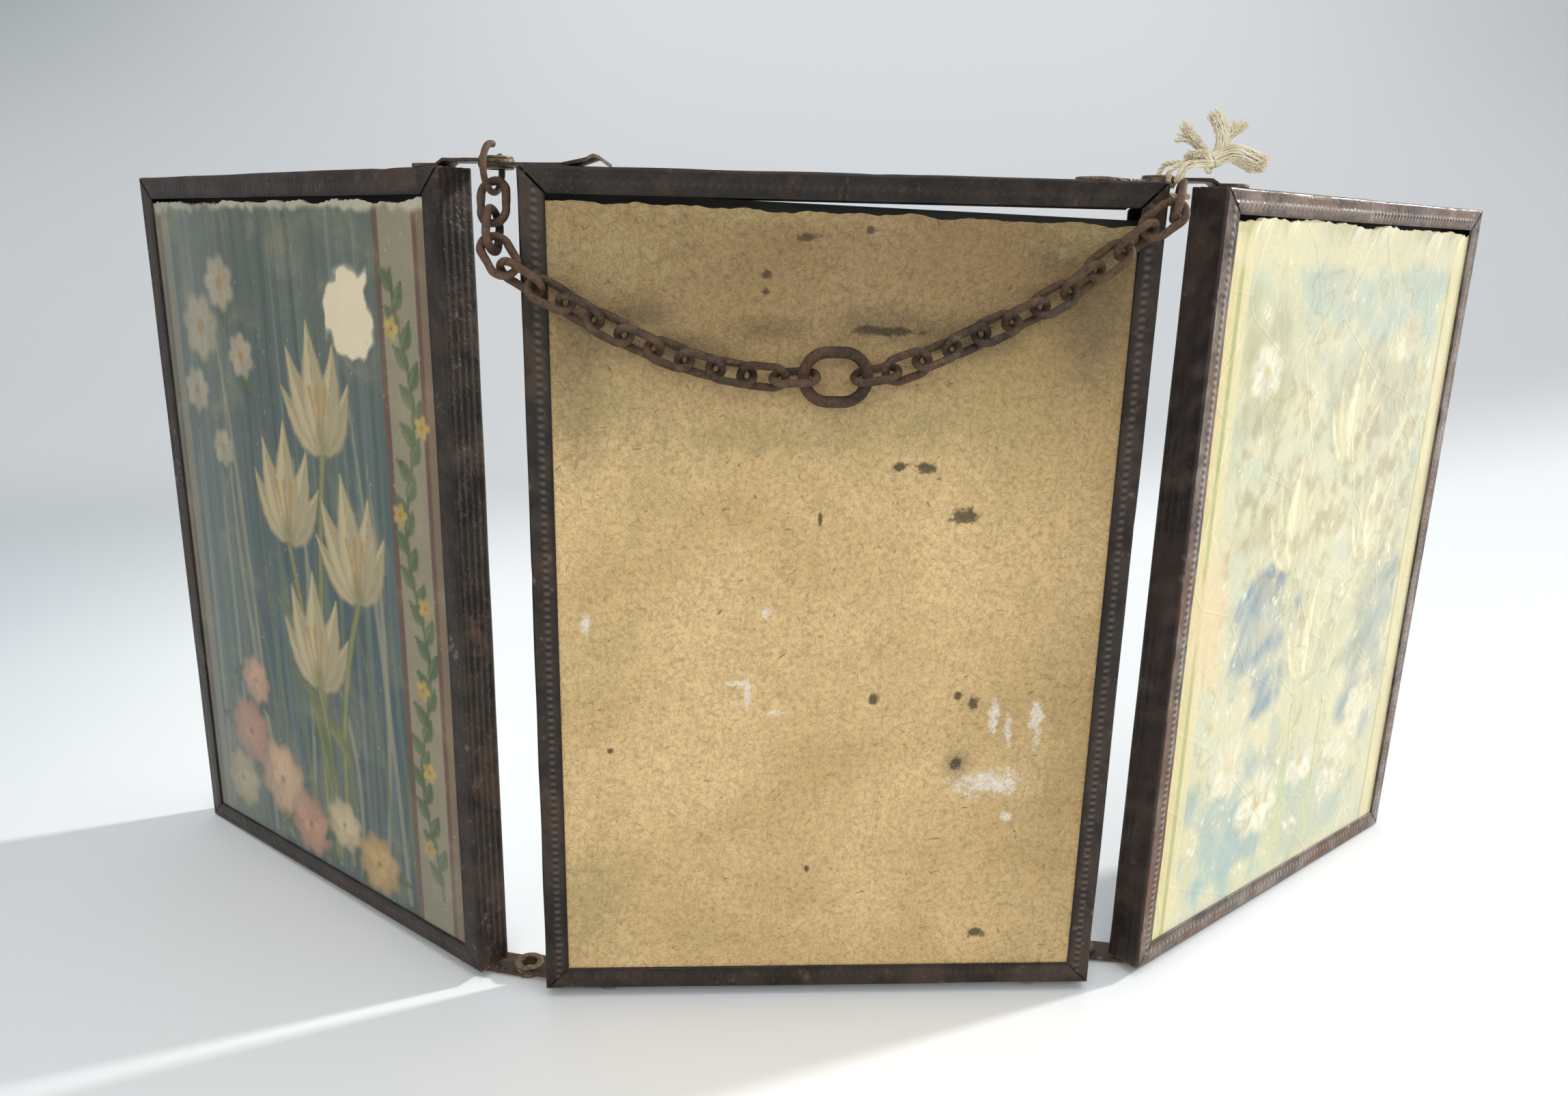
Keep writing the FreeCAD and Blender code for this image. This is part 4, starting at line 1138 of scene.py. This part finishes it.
def islands(mesh):
    edit = bmesh.new()
    edit.from_mesh(mesh)
    bmesh.ops.remove_doubles(edit, verts=edit.verts, dist=1e-6)
    edit.verts.ensure_lookup_table()
    seen = set()
    groups = []
    for start in edit.verts:
        if start in seen:
            continue
        group = []
        stack = [start]
        seen.add(start)
        while stack:
            vertex = stack.pop()
            group.append(tuple(vertex.co))
            for line in vertex.link_edges:
                other = line.other_vert(vertex)
                if other not in seen:
                    seen.add(other)
                    stack.append(other)
        groups.append(np.array(group))
    edit.free()
    return groups


def placement(group):
    # A link's middle, and its length and width as the cloud's two widest directions
    middle = (group.min(axis=0) + group.max(axis=0)) / 2
    for _ in range(3):
        ways = np.linalg.svd(group - middle, full_matrices=False)[2]
        local = (group - middle) @ ways.T
        middle = middle + ((local.max(axis=0) + local.min(axis=0)) / 2) @ ways
    turn = Matrix([ways[0], ways[1], np.cross(ways[0], ways[1])]).transposed()
    return Vector(middle), turn.to_euler()


def chainTree(link, material):
    shade = Shade(bpy.data.node_groups.new("chainLinks", "GeometryNodeTree"))
    sockets = shade.tree.interface
    sockets.new_socket("Geometry", in_out="INPUT", socket_type="NodeSocketGeometry")
    swell = sockets.new_socket("Swell", in_out="INPUT", socket_type="NodeSocketFloat")
    swell.default_value = 1.0
    sockets.new_socket("Geometry", in_out="OUTPUT", socket_type="NodeSocketGeometry")
    given = shade.node("NodeGroupInput").outputs
    wire = shade.node("GeometryNodeObjectInfo", {"Object": link}).outputs["Geometry"]
    read = shade.node("GeometryNodeInputNamedAttribute", {"Name": "turn"}, data_type="FLOAT_VECTOR")
    turn = shade.node("FunctionNodeEulerToRotation", {0: read.outputs[0]}).outputs[0]
    scale = shade.node("ShaderNodeCombineXYZ", {"X": 1.0, "Y": 1.0, "Z": given["Swell"]}).outputs[0]
    values = {"Points": given["Geometry"], "Instance": wire, "Rotation": turn, "Scale": scale}
    spread = shade.node("GeometryNodeInstanceOnPoints", values).outputs[0]
    real = shade.node("GeometryNodeRealizeInstances", {0: spread}).outputs[0]
    ready = shade.node("GeometryNodeSetMaterial", {"Geometry": real, "Material": material}).outputs[0]
    shade.link(ready, shade.node("NodeGroupOutput").inputs[0])
    return shade.tree


linkObject = addObject("linkWire", wireOval("linkWire", linkValues))
linkTree = chainTree(linkObject, chainIron)


def makeChain(node):
    spots = [placement(group) for group in islands(nodes[node].data)]
    mesh = bpy.data.meshes.new(f"{node}_points")
    mesh.from_pydata([spot[0] for spot in spots], [], [])
    turn = mesh.attributes.new("turn", "FLOAT_VECTOR", "POINT")
    turn.data.foreach_set("vector", [v for spot in spots for v in spot[1]])
    holder = addObject(f"{node}_points", mesh)
    modifier = holder.modifiers.new("links", "NODES")
    modifier.node_group = linkTree
    bpy.context.view_layer.update()
    ready = holder.evaluated_get(bpy.context.evaluated_depsgraph_get())
    wires = bpy.data.meshes.new_from_object(ready)
    bpy.data.objects.remove(holder)
    places = readPlaces(wires)
    swell = waves(103, 12, 2.0, 8.0)(places / mm)
    normals = np.array([v.normal[:] for v in wires.vertices])
    places = places + normals * (linkValues["uneven"] * mm * swell)[:, None]
    wires.vertices.foreach_set("co", places.ravel())
    finishObject(f"{node}_wire", wires, chainIron, "chain", (node,), 60.0)


makeChain("chain_links_left")
makeChain("chain_links_right")
bpy.data.objects.remove(linkObject)


def makeRings():
    mesh = wireOval("ringWire", ringValues)
    middle, turn = placement(islands(nodes["hanging_ring"].data)[0])
    mesh.transform(Matrix.Translation(middle) @ turn.to_matrix().to_4x4())
    finishObject("hanging_ring_wire", mesh, chainIron, "ring", ("hanging_ring",), 60.0)
    middle, turn = placement(islands(nodes["chain_jump_ring"].data)[0])
    across = turn.to_matrix().col[2]
    rise = (Vector((0, 0, 1)) - across * across.z).normalized()
    side = rise.cross(across)
    if side.x < 0:
        side.negate()
    radius = (jumpValues["bore"] + jumpValues["wire"]) / 2
    line = []
    for k in range(jumpValues["rings"] + 1):
        c, s = bearing(jumpValues["open"] + (360 - jumpValues["gap"]) * k / jumpValues["rings"])
        line.append(middle / mm + (side * c + rise * s) * radius)
    radii = [jumpValues["wire"] / 2] * len(line)
    radii[0] = radii[-1] = jumpValues["wire"] * jumpValues["tip"]
    points, faces = tubeMesh(line, radii, jumpValues["sides"])
    finishMesh("jump_ring_wire", points, faces, chainIron, "chain", "chain_steel", ("chain_jump_ring",), 60.0)


makeRings()
print("stage: chain made")


# String: twisted cotton through the eyelet and round the last link, knotted over the hinge and frayed
# Tufts stay above the hinge's top, the floor, where they are right of its edge
stringValues = {
    "plies": 3, "ply": 0.3, "twist": 3.2, "hair": 0.11, "knot": (72.6, 3.3, 182.3),
    "knotSize": (0.72, 0.9, 0.6), "floor": 180.5, "edge": 66.6,
}
stringLoop = (
    (72.6, 3.3, 182.2), (69.2, 6.4, 182.4), (66.2, 9.4, 182.2), (65.2, 10.3, 180.0), (65.2, 10.1, 177.0),
    (66.2, 6.0, 176.0), (66.9, -0.5, 175.4), (66.3, -2.8, 175.3), (64.1, -2.8, 175.3), (63.4, -0.5, 175.5),
    (64.1, 2.0, 176.2), (64.5, 2.9, 178.4), (64.8, 3.0, 180.6), (67.6, 3.1, 181.9), (71.6, 3.2, 182.3),
)
# Each tuft: the line it follows, its strands, and its half width at the knot and at the tip
stringTufts = (
    (
        ((73.2, 3.3, 182.4), (74.4, 3.0, 185.0), (74.2, 2.8, 187.8), (73.0, 2.8, 190.0), (71.6, 3.0, 191.4)),
        130, 1.0, 1.4,
    ),
    (
        ((72.0, 3.3, 183.0), (70.4, 3.0, 185.4), (68.2, 2.6, 186.8), (66.0, 2.4, 189.4)),
        60, 0.6, 1.2,
    ),
    (
        ((72.0, 3.3, 183.0), (70.0, 3.0, 185.0), (67.5, 2.6, 186.5), (64.8, 2.4, 186.6)),
        34, 0.5, 0.9,
    ),
    (
        ((73.6, 3.3, 183.5), (74.6, 3.2, 186.2), (75.8, 3.0, 188.3), (75.6, 3.0, 189.9)),
        34, 0.5, 0.9,
    ),
    (
        ((73.6, 3.3, 183.5), (75.0, 3.2, 186.2), (77.0, 3.0, 188.4), (79.2, 3.0, 189.6)),
        50, 0.5, 1.3,
    ),
    (
        ((73.0, 3.2, 182.6), (76.5, 3.0, 184.0), (80.0, 2.8, 182.9), (82.2, 2.6, 181.8), (83.4, 2.4, 181.2)),
        260, 1.6, 2.3,
    ),
    (
        ((71.4, 3.0, 182.4), (69.2, 2.6, 182.8), (67.2, 2.4, 183.6)),
        44, 0.8, 1.1,
    ),
    (
        ((72.0, 2.2, 182.4), (70.4, 1.2, 183.6), (69.0, 1.4, 183.4), (68.6, 2.4, 182.2)),
        50, 0.7, 0.9,
    ),
    (
        ((72.6, 2.4, 182.2), (69.6, 1.2, 181.8), (67.0, 0.6, 181.3), (65.5, 0.0, 179.0), (65.2, -1.2, 176.8)),
        60, 0.9, 0.6,
    ),
)


def smoothLine(points, count):
    points = [Vector(p) for p in points]
    ends = [2 * points[0] - points[1]] + points + [2 * points[-1] - points[-2]]
    line = []
    spans = len(points) - 1
    for k in range(count + 1):
        i = min(int(spans * k / count), spans - 1)
        t = spans * k / count - i
        a, b, c, d = ends[i:i + 4]
        bend = (2 * a - 5 * b + 4 * c - d) * t * t + (3 * b - a - 3 * c + d) * t ** 3
        line.append(0.5 * (2 * b + (c - a) * t + bend))
    return line


def twistedCord(line):
    tubes = []
    frames = sideFrames(line)
    for ply in range(stringValues["plies"]):
        path = []
        travelled = 0.0
        for k, (place, (first, second)) in enumerate(zip(line, frames)):
            travelled += (place - line[k - 1]).length if k else 0.0
            angle = 2 * math.pi * (ply / stringValues["plies"] + travelled / stringValues["twist"])
            aside = first * math.cos(angle) + second * math.sin(angle)
            path.append(place + aside * stringValues["ply"] * 0.9)
        tubes.append(tubeMesh(path, [stringValues["ply"]] * len(path), 7))
    return tubes


def knotLine(count):
    # An overhand knot, as a trefoil squeezed to the knot's size
    middle = Vector(stringValues["knot"])
    wide, deep, tall = stringValues["knotSize"]
    line = []
    for k in range(count + 1):
        t = 2 * math.pi * k / count
        across = (math.sin(t) + 2 * math.sin(2 * t)) * wide
        rise = (math.cos(t) - 2 * math.cos(2 * t)) * tall
        line.append(middle + Vector((across, -math.sin(3 * t) * deep, rise)))
    return line


def frayedTuft(points, count, narrow, broad, pick):
    tubes = []
    steps = 14
    line = smoothLine(points, steps)
    frames = sideFrames(line)
    for _ in range(count):
        angle = pick.uniform(0, 2 * math.pi)
        reach = math.sqrt(pick.random())
        curl = pick.uniform(-1.2, 1.2)
        last = pick.randint(steps - 4, steps)
        path = []
        for k in range(last + 1):
            share = k / steps
            spread = (narrow + (broad - narrow) * share) * reach
            turned = angle + curl * share
            first, second = frames[k]
            place = line[k] + (first * math.cos(turned) + second * math.sin(turned)) * spread
            place = place + Vector([pick.gauss(0, 0.05 + 0.12 * share) for _ in range(3)])
            if place.x > stringValues["edge"]:
                place.z = max(place.z, stringValues["floor"])
            path.append(place)
        radius = stringValues["hair"] * pick.uniform(0.8, 1.6)
        tubes.append(tubeMesh(path, [radius * (1 - 0.45 * k / steps) for k in range(last + 1)], 5))
    return tubes


def makeString():
    pick = random.Random(113)
    tubes = twistedCord(smoothLine(stringLoop, 160)) + twistedCord(knotLine(120))
    for points, count, narrow, broad in stringTufts:
        tubes += frayedTuft(points, count, narrow, broad, pick)
    finishMesh("string_cotton", *joined(tubes), cotton, "center", "cotton", ("string_tie",), 60.0)


makeString()
print("stage: string made")


# Floor and backdrop, tipped so that it touches the low flanges and the wings' far corners
floorValues = {
    "near": -1.6, "far": 0.45, "rise": 1.4, "half": 3.0, "bend": 1.1,
    "drop": 2.2, "run": 76.0, "sink": 0.00212,
}


def sweepMaterial():
    # Pale paper with painted light and shade: lighter high up, greyer high up at both sides, and painted
    # shade on the floor at the left
    material, shade, surface, place = newMaterial("paperSweep")
    axes = shade.axes(place)
    leftwards = shade.times(axes["X"], -1.0)
    high = shade.ramp(axes["Z"], 0.08, 0.5)
    rightSide = shade.times(shade.ramp(axes["X"], 0.45, 1.4), 0.55)
    grey = shade.times(high, shade.larger(shade.ramp(leftwards, 0.1, 1.35), rightSide))
    color = shade.mix(shade.noise(place, 3.0, 3.0, 0.5), (0.80, 0.82, 0.83), (0.83, 0.845, 0.85))
    color = shade.mix(high, color, (0.93, 0.94, 0.955))
    color = shade.mix(grey, color, (0.34, 0.375, 0.385))
    nearby = shade.minus(0.75, shade.times(shade.ramp(axes["Y"], 0.15, 0.6), 0.75))
    # Painted shade: the floor darker towards the left
    color = shade.mix(shade.times(shade.ramp(leftwards, 0.1, 0.4), nearby), color, (0.42, 0.47, 0.50))
    dress(shade, surface, color, 0.5)
    return material


def makeFloor():
    tilt = math.atan2(floorValues["drop"], floorValues["run"])
    far = floorValues["far"]
    bend = floorValues["bend"]
    half = floorValues["half"]
    rows = [(s, 0.0) for s in np.linspace(floorValues["near"], far, 8)]
    rows += [(far + bend * math.sin(a), bend * (1 - math.cos(a))) for a in np.linspace(0.06, math.pi / 2, 24)]
    rows.append((far + bend, bend + floorValues["rise"]))
    points = []
    for y, z in rows:
        for x in (-half, half):
            lifted = y * math.sin(tilt) + z * math.cos(tilt)
            points.append((x, y * math.cos(tilt) - z * math.sin(tilt), lifted - floorValues["sink"]))
    mesh = bpy.data.meshes.new("floor")
    mesh.from_pydata(points, [], quads(len(rows), 2))
    for face in mesh.polygons:
        face.use_smooth = True
    mesh.materials.append(sweepMaterial())
    floor = addObject("floor", mesh)


makeFloor()
print("stage: floor made")


# Light: a pale room, a window low on the right and a little behind, and soft light from above and the viewer
roomValues = {"color": (0.95, 0.975, 1.0, 1.0), "strength": 0.69}
lightValues = {
    "window": {
        "kind": "SUN", "energy": 3.2, "color": (1.0, 0.985, 0.96), "place": (0.94, 0.34, 0.44),
        "aim": (0.0, 0.0, 0.0), "size": 0.07,
    },
    "topSoft": {
        "kind": "AREA", "energy": 3.0, "color": (1.0, 0.99, 0.97), "place": (0.15, -0.2, 1.1),
        "aim": (0.0, 0.0, 0.08), "size": 0.8, "tall": 0.6,
    },
    "viewerFill": {
        "kind": "AREA", "energy": 2.5, "color": (1.0, 0.97, 0.93), "place": (-0.15, -0.8, 0.6),
        "aim": (0.0, 0.0, 0.09), "size": 0.7, "tall": 0.5,
    },
}


def makeLight(name, values):
    data = bpy.data.lights.new(name, values["kind"])
    data.energy = values["energy"]
    data.color = values["color"]
    if values["kind"] == "AREA":
        data.shape = "RECTANGLE"
        data.size = values["size"]
        data.size_y = values["tall"]
    else:
        data.angle = values["size"]
    made = addObject(name, data)
    made.location = values["place"]
    way = Vector(values["aim"]) - Vector(values["place"])
    made.rotation_euler = way.to_track_quat("-Z", "Y").to_euler()


world = bpy.data.worlds.new("room")
scene.world = world
world.use_nodes = True
sky = world.node_tree.nodes["Background"]
sky.inputs["Color"].default_value = roomValues["color"]
sky.inputs["Strength"].default_value = roomValues["strength"]
for name, values in lightValues.items():
    makeLight(name, values)

# The focal length is in pixels of the picture's width
cameraValues = {
    "focal": 1636.556, "width": 2296, "height": 1605, "sensor": 36.0,
    "place": (-0.02305, -0.22629, 0.16317), "turns": (0.2589, -0.0557, 0.0228),
}


def makeCamera():
    ax, ay, az = cameraValues["turns"]
    look = Matrix.Rotation(az, 3, "Z") @ Matrix.Rotation(ax, 3, "X") @ Matrix.Rotation(ay, 3, "Y")
    look = look @ Matrix(((1, 0, 0), (0, 0, -1), (0, 1, 0)))
    turn = Matrix((look[0], -look[1], -look[2])).transposed()
    data = bpy.data.cameras.new("camera")
    data.sensor_width = cameraValues["sensor"]
    data.lens = cameraValues["focal"] / cameraValues["width"] * cameraValues["sensor"]
    data.clip_start = 0.005
    camera = addObject("camera", data)
    camera.matrix_world = Matrix.Translation(cameraValues["place"]) @ turn.to_4x4()
    scene.camera = camera
    scene.render.resolution_x = cameraValues["width"]
    scene.render.resolution_y = cameraValues["height"]


makeCamera()
print("stage: lights and camera set")
